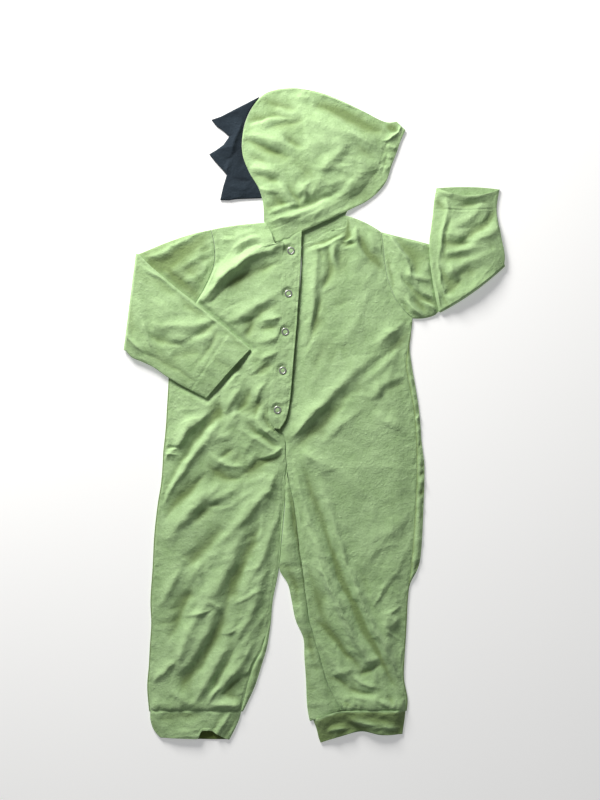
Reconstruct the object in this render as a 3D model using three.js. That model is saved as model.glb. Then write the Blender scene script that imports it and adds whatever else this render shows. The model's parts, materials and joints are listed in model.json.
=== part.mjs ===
// A child's hooded dragon onesie in light green jersey, laid flat on its back. The hood is turned to
// its left side, the right sleeve is folded over the chest and the left sleeve is folded up at the elbow.
// +Y runs from the ankles to the hood and +Z up from the surface that the garment lies on.
// Left and right are the wearer's own, so the right side of the garment is at -X.
// Sizes are in millimetres. Outlines and folds are read off a flat chart of the laid garment, in squares
// counted across from its left edge (x) and down from its top edge (y).
import * as THREE from "three";

// Driving dimensions.
const SQUARE = 1.4; // side of one square of the chart
const CHART_MIDDLE = { x: 315, y: 415.6 }; // the square under the middle of the laid garment
const WALL = 1.2; // one layer of jersey
const SEAM_GAP = 0.3; // between pieces that are sewn together
const PLACKET_WALL = 1.8; // two layers of jersey, stitched flat
const SPIKE_WALL = 2.4; // two layers of dark jersey, sewn and turned
const BODY_PUFF = 1.2; // how far a front stands off the back between its seams
const FOLD_FADE = 11; // folds die out this far from a seam
const SLEEVE_HALF = 1.35; // half the thickness of a flattened sleeve
const SNAP = { outer: 10.5, inner: 5.6, thick: 0.9, sides: 16 };

// Levels above the surface, each the underside of a layer.
const FRONT_LEVEL = WALL + SEAM_GAP;
const PLACKET_LEVEL = FRONT_LEVEL + WALL + SEAM_GAP;
const PLACKET_STEP = PLACKET_LEVEL - FRONT_LEVEL; // the right front climbs this far to its placket

// Fineness of the panels: divisions across and along.
const FINE = { across: 12, armhole: 12, body: 34 };

// Armholes, from the shoulder to the underarm, with the front's and the back's inner edge beside each point.
const RIGHT_ARMHOLE = [
  { ox: 211.5, oy: 230.0, fx: 262.0, fy: 225.4, bx: 262.0, by: 225.4 },
  { ox: 214.3, oy: 243.0, fx: 267.3, fy: 236.0, bx: 280.0, by: 228.0 },
  { ox: 215.3, oy: 256.0, fx: 273.0, fy: 246.3, bx: 302.2, by: 230.0 },
  { ox: 213.5, oy: 268.0, fx: 283.3, fy: 242.6, bx: 301.6, by: 245.0 },
  { ox: 208.5, oy: 280.5, fx: 283.0, fy: 256.0, bx: 301.0, by: 260.0 },
  { ox: 202.0, oy: 293.0, fx: 282.7, fy: 270.0, bx: 300.4, by: 275.0 },
  { ox: 194.0, oy: 304.5, fx: 282.3, fy: 285.0, bx: 299.8, by: 290.0 },
  { ox: 184.5, oy: 313.5, fx: 281.9, fy: 302.0, bx: 299.2, by: 305.0 },
  { ox: 174.0, oy: 320.0, fx: 281.2, fy: 320.0, bx: 298.5, by: 320.0 },
];
const LEFT_ARMHOLE = [
  { ox: 381.0, oy: 232.3, fx: 346.8, fy: 217.0, bx: 346.8, by: 217.0 },
  { ox: 383.0, oy: 246.0, fx: 346.4, fy: 229.0, bx: 325.0, by: 225.0 },
  { ox: 384.3, oy: 259.0, fx: 329.0, fy: 234.0, bx: 302.8, by: 230.0 },
  { ox: 386.0, oy: 272.0, fx: 314.0, fy: 242.3, bx: 302.2, by: 245.0 },
  { ox: 389.5, oy: 285.0, fx: 303.0, fy: 249.0, bx: 301.6, by: 260.0 },
  { ox: 394.5, oy: 297.5, fx: 301.4, fy: 266.0, bx: 301.0, by: 275.0 },
  { ox: 400.0, oy: 306.0, fx: 300.2, fy: 284.0, bx: 300.4, by: 290.0 },
  { ox: 406.0, oy: 313.0, fx: 299.0, fy: 301.0, bx: 299.8, by: 305.0 },
  { ox: 412.6, oy: 318.6, fx: 297.6, fy: 318.6, bx: 299.1, by: 318.6 },
];

// The body below the armholes. ox is the outline, and roll is how far the back shows outside the side
// seam. fx is the front's inner edge and bx the back's: above the crotch they are the placket or the
// front seam and the back seam, and below it they are the inner leg seam and the leg's inner outline.
const RIGHT_BODY = [
  { y: 320, ox: 174.0, roll: 1.2, fx: 281.2, bx: 298.5, leg: 0 },
  { y: 345, ox: 171.0, roll: 1.2, fx: 278.4, bx: 296.4, leg: 0 },
  { y: 367, ox: 169.3, roll: 1.2, fx: 275.2, bx: 294.6, leg: 0 },
  { y: 388, ox: 168.2, roll: 1.2, fx: 271.2, bx: 292.9, leg: 0 },
  { y: 408, ox: 167.0, roll: 1.2, fx: 268.6, bx: 291.4, leg: 0 },
  { y: 420, ox: 166.3, roll: 1.2, fx: 270.0, bx: 290.4, leg: 0 },
  { y: 430, ox: 165.6, roll: 1.2, fx: 275.3, bx: 289.6, leg: 0 },
  { y: 440, ox: 164.6, roll: 1.2, fx: 284.6, bx: 288.8, leg: 0 },
  { y: 452, ox: 163.3, roll: 1.2, fx: 285.1, bx: 287.7, leg: 0 },
  { y: 464, ox: 162.7, roll: 1.2, fx: 285.4, bx: 286.4, leg: 0 },
  { y: 484, ox: 161.0, roll: 1.2, fx: 284.0, bx: 285.2, leg: 1 },
  { y: 505, ox: 157.6, roll: 1.2, fx: 282.6, bx: 283.8, leg: 1 },
  { y: 535, ox: 154.3, roll: 1.2, fx: 279.8, bx: 281.0, leg: 1 },
  { y: 568, ox: 152.6, roll: 1.2, fx: 277.0, bx: 278.2, leg: 1 },
  { y: 600, ox: 150.5, roll: 1.2, fx: 271.7, bx: 272.9, leg: 1 },
  { y: 623, ox: 151.3, roll: 1.2, fx: 269.0, bx: 270.8, leg: 1 },
  { y: 646, ox: 149.9, roll: 1.2, fx: 262.7, bx: 267.2, leg: 1 },
  { y: 665, ox: 148.9, roll: 1.2, fx: 253.5, bx: 261.6, leg: 1 },
  { y: 687, ox: 147.3, roll: 1.2, fx: 246.8, bx: 254.5, leg: 1 },
  { y: 711, ox: 149.2, roll: 1.2, fx: 241.0, bx: 243.2, leg: 1 },
];
const LEFT_BODY = [
  { y: 318.6, ox: 412.6, roll: 1.2, fx: 297.6, bx: 299.1, leg: 0 },
  { y: 332, ox: 411.6, roll: 1.2, fx: 296.9, bx: 298.1, leg: 0 },
  { y: 347, ox: 409.6, roll: 1.6, fx: 295.7, bx: 297.0, leg: 0 },
  { y: 366, ox: 411.7, roll: 6.0, fx: 294.0, bx: 295.3, leg: 0 },
  { y: 390, ox: 415.9, roll: 6.0, fx: 292.2, bx: 293.4, leg: 0 },
  { y: 409, ox: 418.8, roll: 5.5, fx: 289.4, bx: 291.9, leg: 0 },
  { y: 421, ox: 420.0, roll: 5.3, fx: 286.6, bx: 290.9, leg: 0 },
  { y: 430, ox: 420.7, roll: 5.4, fx: 281.8, bx: 290.2, leg: 0 },
  { y: 440, ox: 421.3, roll: 5.4, fx: 285.6, bx: 289.3, leg: 0 },
  { y: 452, ox: 422.8, roll: 6.5, fx: 285.9, bx: 288.3, leg: 0 },
  { y: 464, ox: 424.2, roll: 7.8, fx: 286.9, bx: 286.9, leg: 0 },
  { y: 484, ox: 424.3, roll: 8.0, fx: 290.0, bx: 286.7, leg: 1 },
  { y: 505, ox: 423.5, roll: 8.0, fx: 294.0, bx: 285.8, leg: 1 },
  { y: 535, ox: 422.2, roll: 9.0, fx: 298.3, bx: 283.4, leg: 1 },
  { y: 558, ox: 420.3, roll: 9.0, fx: 301.0, bx: 280.9, leg: 1 },
  { y: 570, ox: 417.0, roll: 6.0, fx: 302.5, bx: 280.2, leg: 1 },
  { y: 584, ox: 410.0, roll: 1.5, fx: 304.5, bx: 287.8, leg: 1 },
  { y: 600, ox: 407.8, roll: 1.2, fx: 306.5, bx: 291.5, leg: 1 },
  { y: 620, ox: 406.8, roll: 1.2, fx: 309.0, bx: 295.6, leg: 1 },
  { y: 638, ox: 405.8, roll: 1.2, fx: 314.5, bx: 303.3, leg: 1 },
  { y: 657, ox: 404.5, roll: 1.2, fx: 320.0, bx: 304.3, leg: 1 },
  { y: 678, ox: 404.0, roll: 1.2, fx: 326.0, bx: 305.8, leg: 1 },
  { y: 698, ox: 407.5, roll: 1.2, fx: 335.0, bx: 307.0, leg: 1, by: 705 },
  { y: 710.5, ox: 406.7, roll: 1.2, fx: 341.0, bx: 309.6, leg: 1, by: 720.6 },
];

// Placket strips, from the neck to the tail, by their left and right edges.
const PLACKET_OUTER = [
  { lx: 284.3, ly: 239.5, rx: 301.8, ry: 231.5 },
  { lx: 283.6, ly: 256.0, rx: 301.1, ry: 252.0 },
  { lx: 283.2, ly: 280.0, rx: 299.9, ry: 279.0 },
  { lx: 282.2, ly: 306.0, rx: 298.0, ry: 306.0 },
  { lx: 280.6, ly: 330.0, rx: 296.4, ry: 330.0 },
  { lx: 276.6, ly: 362.0, rx: 293.4, ry: 362.0 },
  { lx: 271.8, ly: 390.0, rx: 291.2, ry: 390.0 },
  { lx: 269.8, ly: 408.0, rx: 288.6, ry: 409.5 },
  { lx: 271.0, ly: 419.0, rx: 285.6, ry: 420.0 },
  { lx: 276.0, ly: 428.6, rx: 279.8, ry: 429.0 },
];
const PLACKET_UNDER = [
  { lx: 284.6, ly: 250.6, rx: 301.0, ry: 249.0 },
  { lx: 283.9, ly: 280.0, rx: 299.4, ry: 280.0 },
  { lx: 282.9, ly: 306.0, rx: 297.4, ry: 306.0 },
  { lx: 281.2, ly: 330.0, rx: 295.8, ry: 330.0 },
  { lx: 277.2, ly: 362.0, rx: 292.8, ry: 362.0 },
  { lx: 272.4, ly: 390.0, rx: 290.6, ry: 390.0 },
  { lx: 270.8, ly: 408.0, rx: 288.0, ry: 409.5 },
  { lx: 272.6, ly: 420.0, rx: 285.4, ry: 421.0 },
  { lx: 278.4, ly: 431.5, rx: 280.4, ry: 431.5 },
];

// The five ring snaps.
const SNAPS = [
  { x: 291.0, y: 251.3 },
  { x: 288.5, y: 294.0 },
  { x: 285.3, y: 332.0 },
  { x: 282.8, y: 370.7 },
  { x: 277.6, y: 410.0 },
];

// Sleeves below the armhole: the upper arm's edges a (top) and b (bottom) up to the elbow fold, and then
// the forearm's, with the height z of its middle. armhole is how much of the armhole's curve a row still
// has, bowX and bowY bend it, and dip bends the rim's upper layer.
const RIGHT_UPPER_ARM = [
  { ax: 211.2, ay: 230.0, bx: 173.7, by: 320.0, z: 1.35, armhole: 1 },
  { ax: 196.0, ay: 233.2, bx: 166.0, by: 326.0, z: 1.35, armhole: 0.72 },
  { ax: 180.0, ay: 238.0, bx: 155.0, by: 333.5, z: 1.35, armhole: 0.4 },
  { ax: 164.0, ay: 243.8, bx: 144.5, by: 340.5, z: 1.35, armhole: 0.15 },
  { ax: 150.0, ay: 249.6, bx: 134.5, by: 346.5, z: 1.35, armhole: 0 },
  { ax: 138.6, ay: 254.3, bx: 126.3, by: 350.8, z: 1.35, armhole: 0 },
];
const RIGHT_FOREARM = [
  { ax: 138.6, ay: 254.3, bx: 126.3, by: 350.8, z: 5.55, dip: 0 },
  { ax: 150.0, ay: 265.5, bx: 132.4, by: 357.6, z: 5.55, dip: 0 },
  { ax: 165.0, ay: 278.5, bx: 141.6, by: 361.6, z: 5.55, dip: 0 },
  { ax: 180.0, ay: 291.0, bx: 154.0, by: 367.5, z: 5.6, dip: 0 },
  { ax: 196.0, ay: 303.5, bx: 166.0, by: 376.0, z: 5.7, dip: 0 },
  { ax: 213.0, ay: 317.5, bx: 179.0, by: 384.0, z: 5.8, dip: 0 },
  { ax: 228.0, ay: 330.0, bx: 190.0, by: 390.0, z: 5.8, dip: 0 },
  { ax: 240.0, ay: 340.2, bx: 198.8, by: 394.5, z: 5.8, dip: 0 },
  { ax: 250.8, ay: 349.4, bx: 206.6, by: 398.5, z: 5.8, dip: -1.2 },
];
const LEFT_UPPER_ARM = [
  { ax: 381.3, ay: 232.3, bx: 412.9, by: 318.6, z: 1.35, armhole: 1 },
  { ax: 398.0, ay: 236.6, bx: 418.0, by: 318.8, z: 1.35, armhole: 0.7 },
  { ax: 418.0, ay: 241.4, bx: 424.0, by: 318.4, z: 1.35, armhole: 0.35 },
  { ax: 442.0, ay: 248.0, bx: 430.0, by: 317.0, z: 1.35, armhole: 0.1 },
  { ax: 470.0, ay: 256.0, bx: 435.0, by: 315.0, z: 1.35, armhole: 0 },
  { ax: 503.6, ay: 264.6, bx: 438.5, by: 311.2, z: 1.35, armhole: 0, bowX: 1.5, bowY: 2.4 },
];
const LEFT_FOREARM = [
  { ax: 503.6, ay: 264.6, bx: 438.5, by: 311.2, z: 5.05, dip: 0, bowX: 1.5, bowY: 2.4 },
  { ax: 504.2, ay: 258.0, bx: 435.5, by: 299.0, z: 5.05, dip: 0, bowX: 1.1, bowY: 1.8 },
  { ax: 503.4, ay: 250.5, bx: 432.4, by: 283.0, z: 5.05, dip: 0, bowX: 0.5, bowY: 0.8 },
  { ax: 501.2, ay: 240.0, bx: 429.6, by: 262.0, z: 5.0, dip: 0 },
  { ax: 499.6, ay: 231.0, bx: 429.0, by: 243.0, z: 4.5, dip: 0 },
  { ax: 497.8, ay: 222.0, bx: 430.8, by: 228.0, z: 2.9, dip: 0 },
  { ax: 496.6, ay: 212.0, bx: 432.8, by: 213.0, z: 1.7, dip: 1 },
  { ax: 497.2, ay: 202.0, bx: 433.8, by: 202.0, z: 1.4, dip: 4 },
  { ax: 499.4, ay: 189.5, bx: 436.2, by: 188.4, z: 1.35, dip: 9.5, bowX: 0, bowY: -1.8 },
];

// Ankle bands, from the leg's seam to the rim. b1 to b3 bend the ring along the leg at its quarters,
// and dip bends the rim's upper layer.
const RIGHT_BAND = [
  { ax: 150.4, ay: 711.3, bx: 242.0, by: 711.3, b1: 0, b2: 0, b3: 0, dip: 0 },
  { ax: 150.4, ay: 719.0, bx: 239.6, by: 718.0, b1: 0, b2: 0, b3: 0, dip: 0 },
  { ax: 153.6, ay: 729.0, bx: 235.0, by: 728.6, b1: 0, b2: 0, b3: 0, dip: -1 },
  { ax: 160.0, ay: 737.0, bx: 229.6, by: 739.0, b1: 0.4, b2: 0.6, b3: 0.4, dip: -4.5 },
];
const LEFT_BAND = [
  { ax: 405.4, ay: 710.9, bx: 314.6, by: 720.9, b1: -2.6, b2: -5.1, b3: -6.1, dip: 0 },
  { ax: 404.6, ay: 718.4, bx: 316.6, by: 729.0, b1: -2.8, b2: -5.4, b3: -5.6, dip: 0 },
  { ax: 403.4, ay: 726.5, bx: 318.4, by: 736.6, b1: -1.8, b2: -6.0, b3: -4.6, dip: -0.6 },
  { ax: 402.4, ay: 733.4, bx: 320.4, by: 742.2, b1: -0.6, b2: -6.6, b3: -3.8, dip: -2 },
];

// Hood, from the peak to the nape: the crown seam, then the face edge of each side panel.
const HOOD = [
  { cx: 396.5, cy: 122.0, rx: 405.4, ry: 130.6, lx: 403.4, ly: 131.4 },
  { cx: 384.0, cy: 122.0, rx: 400.6, ry: 141.0, lx: 397.6, ly: 141.0 },
  { cx: 362.0, cy: 111.0, rx: 396.6, ry: 152.5, lx: 393.0, ly: 153.0 },
  { cx: 341.0, cy: 101.0, rx: 391.4, ry: 166.0, lx: 387.2, ly: 167.0 },
  { cx: 322.0, cy: 93.6, rx: 386.2, ry: 181.4, lx: 379.8, ly: 180.5 },
  { cx: 304.0, cy: 89.6, rx: 377.5, ry: 192.8, lx: 371.0, ly: 191.0 },
  { cx: 290.0, cy: 88.6, rx: 366.5, ry: 201.6, lx: 359.0, ly: 200.0 },
  { cx: 275.0, cy: 90.4, rx: 354.0, ry: 208.0, lx: 350.0, ly: 208.0 },
  { cx: 262.0, cy: 96.2, rx: 343.4, ry: 213.4, lx: 344.0, ly: 214.6 },
  { cx: 250.6, cy: 111.0, rx: 331.0, ry: 219.4, lx: 343.6, ly: 226.4 },
  { cx: 243.6, cy: 130.0, rx: 318.0, ry: 225.2, lx: 331.0, ly: 231.2 },
  { cx: 242.4, cy: 153.0, rx: 305.0, ry: 231.2, lx: 319.0, ly: 236.4 },
  { cx: 249.0, cy: 172.0, rx: 293.6, ry: 236.6, lx: 303.4, ly: 245.8 },
  { cx: 258.0, cy: 187.0, rx: 284.6, ry: 240.4, lx: 290.0, ly: 241.0 },
  { cx: 263.0, cy: 203.0, rx: 278.0, ry: 243.0, lx: 277.0, ly: 235.0 },
  { cx: 264.0, cy: 221.6, rx: 273.2, ry: 245.0, lx: 267.5, ly: 227.4 },
];

// Spike strip, from the crown to the nape: its edge along the crown seam, then its outer edge.
const SPIKES = [
  { ix: 259.6, iy: 97.2, ox: 258.2, oy: 97.6 },
  { ix: 257.0, iy: 101.0, ox: 247.0, oy: 103.6 },
  { ix: 253.6, iy: 105.4, ox: 232.0, oy: 111.2 },
  { ix: 250.0, iy: 110.6, ox: 220.8, oy: 117.0 },
  { ix: 247.4, iy: 116.0, ox: 211.4, oy: 120.2 },
  { ix: 245.2, iy: 121.6, ox: 216.4, oy: 126.6 },
  { ix: 243.6, iy: 127.6, ox: 223.4, oy: 131.4 },
  { ix: 242.6, iy: 134.6, ox: 229.2, oy: 137.0 },
  { ix: 241.9, iy: 140.4, ox: 223.4, oy: 145.2 },
  { ix: 241.6, iy: 146.6, ox: 216.0, oy: 150.6 },
  { ix: 241.5, iy: 152.6, ox: 209.2, oy: 154.6 },
  { ix: 242.4, iy: 159.0, ox: 215.0, oy: 162.0 },
  { ix: 244.6, iy: 165.6, ox: 221.6, oy: 169.2 },
  { ix: 247.4, iy: 171.6, ox: 226.8, oy: 175.4 },
  { ix: 250.6, iy: 177.2, ox: 223.2, oy: 187.0 },
  { ix: 253.8, iy: 182.6, ox: 220.2, oy: 200.4 },
  { ix: 257.2, iy: 188.4, ox: 229.0, oy: 200.6 },
  { ix: 261.2, iy: 198.4, ox: 236.0, oy: 199.4 },
];

// The largest folds: soft ridges from (x1, y1) to (x2, y2), bent sideways by bow, half a ridge wide
// by half, all in squares, and rise high in millimetres.
const BODY_FOLDS = [
  { x1: 268, y1: 255, x2: 208, y2: 287, bow: -3, half: 8, rise: 6.5 },
  { x1: 258, y1: 232, x2: 216, y2: 238, bow: 1, half: 6, rise: 2.5 },
  { x1: 278, y1: 288, x2: 222, y2: 322, bow: 2, half: 9, rise: 3.5 },
  { x1: 274, y1: 330, x2: 248, y2: 346, bow: 2, half: 7, rise: 3.0 },
  { x1: 268, y1: 372, x2: 232, y2: 392, bow: 3, half: 8, rise: 3.2 },
  { x1: 228, y1: 394, x2: 160, y2: 486, bow: 4, half: 7, rise: 5.0 },
  { x1: 250, y1: 404, x2: 166, y2: 514, bow: 5, half: 8, rise: 4.6 },
  { x1: 246, y1: 476, x2: 168, y2: 540, bow: 5, half: 8, rise: 3.6 },
  { x1: 280, y1: 450, x2: 214, y2: 462, bow: -11, half: 7, rise: 4.6 },
  { x1: 268, y1: 424, x2: 236, y2: 436, bow: -4, half: 6, rise: 3.4 },
  { x1: 281, y1: 468, x2: 190, y2: 668, bow: -8, half: 10, rise: 5.4 },
  { x1: 272, y1: 552, x2: 198, y2: 704, bow: -6, half: 8, rise: 4.6 },
  { x1: 258, y1: 636, x2: 216, y2: 702, bow: -2, half: 7, rise: 5.0 },
  { x1: 196, y1: 552, x2: 156, y2: 634, bow: 3, half: 9, rise: 3.2 },
  { x1: 182, y1: 640, x2: 150, y2: 690, bow: 2, half: 8, rise: 3.2 },
  { x1: 390, y1: 326, x2: 296, y2: 440, bow: -5, half: 9, rise: 6.4 },
  { x1: 404, y1: 382, x2: 320, y2: 462, bow: -4, half: 11, rise: 4.2 },
  { x1: 320, y1: 246, x2: 306, y2: 342, bow: 5, half: 7, rise: 3.6 },
  { x1: 354, y1: 226, x2: 386, y2: 276, bow: 4, half: 7, rise: 3.8 },
  { x1: 402, y1: 322, x2: 372, y2: 352, bow: 0, half: 7, rise: 3.0 },
  { x1: 296, y1: 480, x2: 394, y2: 694, bow: 5, half: 8, rise: 4.8 },
  { x1: 322, y1: 470, x2: 376, y2: 612, bow: 3, half: 10, rise: 3.8 },
  { x1: 412, y1: 504, x2: 352, y2: 580, bow: 3, half: 9, rise: 3.8 },
  { x1: 408, y1: 548, x2: 376, y2: 610, bow: 2, half: 8, rise: 3.4 },
  { x1: 324, y1: 616, x2: 372, y2: 662, bow: 1, half: 7, rise: 3.2 },
  { x1: 330, y1: 680, x2: 384, y2: 686, bow: 6, half: 6, rise: 4.2 },
];
const HOOD_FOLDS = [
  { x1: 250, y1: 114, x2: 278, y2: 111, bow: 0, half: 5, rise: 2.6 },
  { x1: 250, y1: 125, x2: 300, y2: 117, bow: -2, half: 6, rise: 3.0 },
  { x1: 248, y1: 138, x2: 288, y2: 150, bow: -3, half: 6, rise: 3.2 },
  { x1: 251, y1: 170, x2: 280, y2: 180, bow: -4, half: 6, rise: 3.4 },
  { x1: 268, y1: 222, x2: 344, y2: 182, bow: 3, half: 6, rise: 3.6 },
  { x1: 284, y1: 231, x2: 370, y2: 160, bow: 5, half: 8, rise: 3.6 },
  { x1: 318, y1: 102, x2: 382, y2: 128, bow: -1, half: 7, rise: 3.0 },
  { x1: 292, y1: 138, x2: 346, y2: 132, bow: 2, half: 9, rise: 2.6 },
];
const SLEEVE_FOLDS = [
  { x1: 206, y1: 240, x2: 146, y2: 258, bow: 2, half: 7, rise: 2.6 },
  { x1: 142, y1: 268, x2: 186, y2: 300, bow: -3, half: 7, rise: 2.6 },
  { x1: 158, y1: 334, x2: 226, y2: 330, bow: -4, half: 7, rise: 3.2 },
  { x1: 140, y1: 330, x2: 176, y2: 366, bow: 2, half: 8, rise: 2.2 },
  { x1: 392, y1: 252, x2: 410, y2: 300, bow: -4, half: 6, rise: 3.0 },
  { x1: 489, y1: 209, x2: 444, y2: 240, bow: 3, half: 7, rise: 4.6 },
  { x1: 500, y1: 242, x2: 448, y2: 262, bow: 3, half: 8, rise: 3.2 },
  { x1: 492, y1: 262, x2: 450, y2: 300, bow: 2, half: 7, rise: 3.0 },
];

// The right forearm lies here on the front, which keeps low under it.
const UNDER_FOREARM = [
  { x: 136, y: 252 },
  { x: 253, y: 349 },
  { x: 207, y: 401 },
  { x: 122, y: 352 },
];

const mix = (a, b, t) => a + (b - a) * t;
const clamp = (t) => Math.min(Math.max(t, 0), 1);
const ease = (t) => clamp(t) ** 2 * (3 - 2 * clamp(t));
const chartX = (x) => (x - CHART_MIDDLE.x) * SQUARE;
const chartY = (y) => (CHART_MIDDLE.y - y) * SQUARE;

// A column's value at row t, on straight lines between the rows.
function straight(table, name, t) {
  const i = Math.min(Math.floor(t), table.length - 2);
  return mix(table[i][name], table[i + 1][name], t - i);
}

// A column's value at row t, on a Catmull-Rom curve through the rows.
function smooth(table, name, t) {
  const i = Math.min(Math.floor(t), table.length - 2);
  const row = (k) => table[Math.min(Math.max(k, 0), table.length - 1)][name];
  const [a, b, c, d] = [row(i - 1), row(i), row(i + 1), row(i + 2)];
  const s = t - i;
  return b + 0.5 * s * (c - a + s * (2 * a - 5 * b + 4 * c - d + s * (3 * (b - c) + d - a)));
}

// Height of the folds in a table at a chart place: each is a bell across its line, and runs out at its ends.
function foldHeight(folds, x, y) {
  let height = 0;
  for (const fold of folds) {
    const [dx, dy] = [fold.x2 - fold.x1, fold.y2 - fold.y1];
    const length = Math.hypot(dx, dy);
    const t = ((x - fold.x1) * dx + (y - fold.y1) * dy) / length ** 2;
    if (t <= 0 || t >= 1) continue;
    const across = ((x - fold.x1) * dy - (y - fold.y1) * dx) / length - fold.bow * 4 * t * (1 - t);
    height += fold.rise * Math.exp(-((across / fold.half) ** 2)) * ease(t / 0.2) * ease((1 - t) / 0.25);
  }
  return height;
}

// 1 away from a convex patch of the chart and 0 inside it, changing over reach squares outside its edge.
function outside(patch, x, y, reach) {
  let inside = Infinity;
  patch.forEach((from, i) => {
    const to = patch[(i + 1) % patch.length];
    const [dx, dy] = [to.x - from.x, to.y - from.y];
    inside = Math.min(inside, ((y - from.y) * dx - (x - from.x) * dy) / Math.hypot(dx, dy));
  });
  return ease(-inside / reach);
}

// A geometry from vertices and triangles, turned to face outwards.
function closedGeometry(points, triangles) {
  let volume = 0;
  for (const [a, b, c] of triangles) {
    const [p, q, r] = [points[a], points[b], points[c]];
    volume += p.dot(new THREE.Vector3().crossVectors(q, r));
  }
  const facing = volume < 0 ? triangles.map(([a, b, c]) => [a, c, b]) : triangles;
  const geometry = new THREE.BufferGeometry().setFromPoints(points);
  return geometry.setIndex(facing.flat());
}

// The two triangles of each cell between two rings of vertex numbers.
function band(from, to, closed) {
  const triangles = [];
  const cells = closed ? from.length : from.length - 1;
  for (let i = 0; i < cells; i++) {
    const j = (i + 1) % from.length;
    triangles.push([from[i], from[j], to[j]], [from[i], to[j], to[i]]);
  }
  return triangles;
}

// A sheet with walls: grids of upper and lower points, closed round the rim.
function sheetGeometry(upper, lower) {
  const across = upper[0].length;
  const points = [...upper.flat(), ...lower.flat()];
  const number = (layer, i, j) => layer * upper.length * across + i * across + j;
  const triangles = [];
  for (let i = 0; i + 1 < upper.length; i++) {
    const row = (layer, k) => upper[0].map((_, j) => number(layer, k, j));
    triangles.push(...band(row(0, i), row(0, i + 1), false));
    triangles.push(...band(row(1, i + 1), row(1, i), false));
  }
  const last = upper.length - 1;
  const rim = (layer) => [
    ...upper[0].map((_, j) => number(layer, 0, j)),
    ...upper.slice(1).map((_, i) => number(layer, i + 1, across - 1)),
    ...upper[0].slice(1).map((_, j) => number(layer, last, across - 2 - j)),
    ...upper.slice(2).map((_, i) => number(layer, last - 1 - i, 0)),
  ];
  triangles.push(...band(rim(1), rim(0), true));
  return closedGeometry(points, triangles);
}

// A tube with walls and open ends: one ring of outer and one of inner points at each station.
function tubeGeometry(outer, inner) {
  const around = outer[0].length;
  const points = [...outer.flat(), ...inner.flat()];
  const ring = (layer, k) => outer[0].map((_, i) => (layer * outer.length + k) * around + i);
  const triangles = [];
  for (let k = 0; k + 1 < outer.length; k++) {
    triangles.push(...band(ring(0, k), ring(0, k + 1), true));
    triangles.push(...band(ring(1, k + 1), ring(1, k), true));
  }
  const last = outer.length - 1;
  triangles.push(...band(ring(1, 0), ring(0, 0), true));
  triangles.push(...band(ring(0, last), ring(1, last), true));
  return closedGeometry(points, triangles);
}

// Rows of a body half, from the shoulder to the ankle: the side seam, the outline and the inner edges.
// side is 1 where the body lies to the right of its outline on the chart, and -1 where it lies to the left.
// shoulderBow is how far the shoulder seam curves up.
function bodyRows(armhole, body, side, shoulderBow) {
  const rows = [];
  for (let k = 0; k < FINE.armhole; k++) {
    const at = (name) => straight(armhole, name, (k / FINE.armhole) * (armhole.length - 1));
    const outline = { x: at("ox"), y: at("oy") };
    const front = { x: at("fx"), y: at("fy") };
    const back = { x: at("bx"), y: at("by") };
    const bow = shoulderBow * Math.max(1 - k / 3, 0);
    rows.push({ outline, seam: outline, front, back, lip: 0, leg: 0, bow });
  }
  const filled = body.map((row) => ({ ...row, by: row.by ?? row.y }));
  for (let k = 0; k <= FINE.body; k++) {
    const t = (k / FINE.body) * (body.length - 1);
    const at = (name) => smooth(filled, name, t);
    const [y, leg] = [at("y"), ease(at("leg"))];
    rows.push({
      outline: { x: at("ox"), y },
      seam: { x: at("ox") + side * at("roll"), y },
      front: { x: at("fx"), y },
      back: { x: at("bx"), y: at("by") },
      lip: ease(k / 3),
      leg,
      bow: 0,
    });
  }
  return rows;
}

// A front, from the side seam across to the placket, the front seam and the inner leg seam.
function frontGeometry(rows, placketStep) {
  let run = 0;
  const runs = rows.map((row, i) => {
    const before = rows[Math.max(i - 1, 0)];
    run += (row.seam.y - before.seam.y + row.front.y - before.front.y) * 0.5 * SQUARE;
    return run;
  });
  const lower = rows.map((row, i) => {
    const width = Math.hypot(row.front.x - row.seam.x, row.front.y - row.seam.y) * SQUARE;
    return Array.from({ length: FINE.across + 1 }, (_, j) => {
      const u = j / FINE.across;
      const x = mix(row.seam.x, row.front.x, u);
      const y = mix(row.seam.y, row.front.y, u) - row.bow * 4 * u * (1 - u);
      const ends = ease(runs[i] / FOLD_FADE) * ease((run - runs[i]) / FOLD_FADE);
      const fade = ease((u * width) / FOLD_FADE) * ease(((1 - u) * width) / FOLD_FADE) * ends;
      const free = mix(0.2, 1, outside(UNDER_FOREARM, x, y, 14));
      const puff = BODY_PUFF * fade;
      const step = placketStep * ease((u - 0.7) / 0.25) * ease((441 - y) / 14);
      const lift = (puff + foldHeight(BODY_FOLDS, x, y) * fade * (free - 0.2)) * free + step;
      return new THREE.Vector3(chartX(x), chartY(y), FRONT_LEVEL + lift);
    });
  });
  const upper = lower.map((row) => row.map((p) => new THREE.Vector3(p.x, p.y, p.z + WALL)));
  return sheetGeometry(upper, lower);
}

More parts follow.
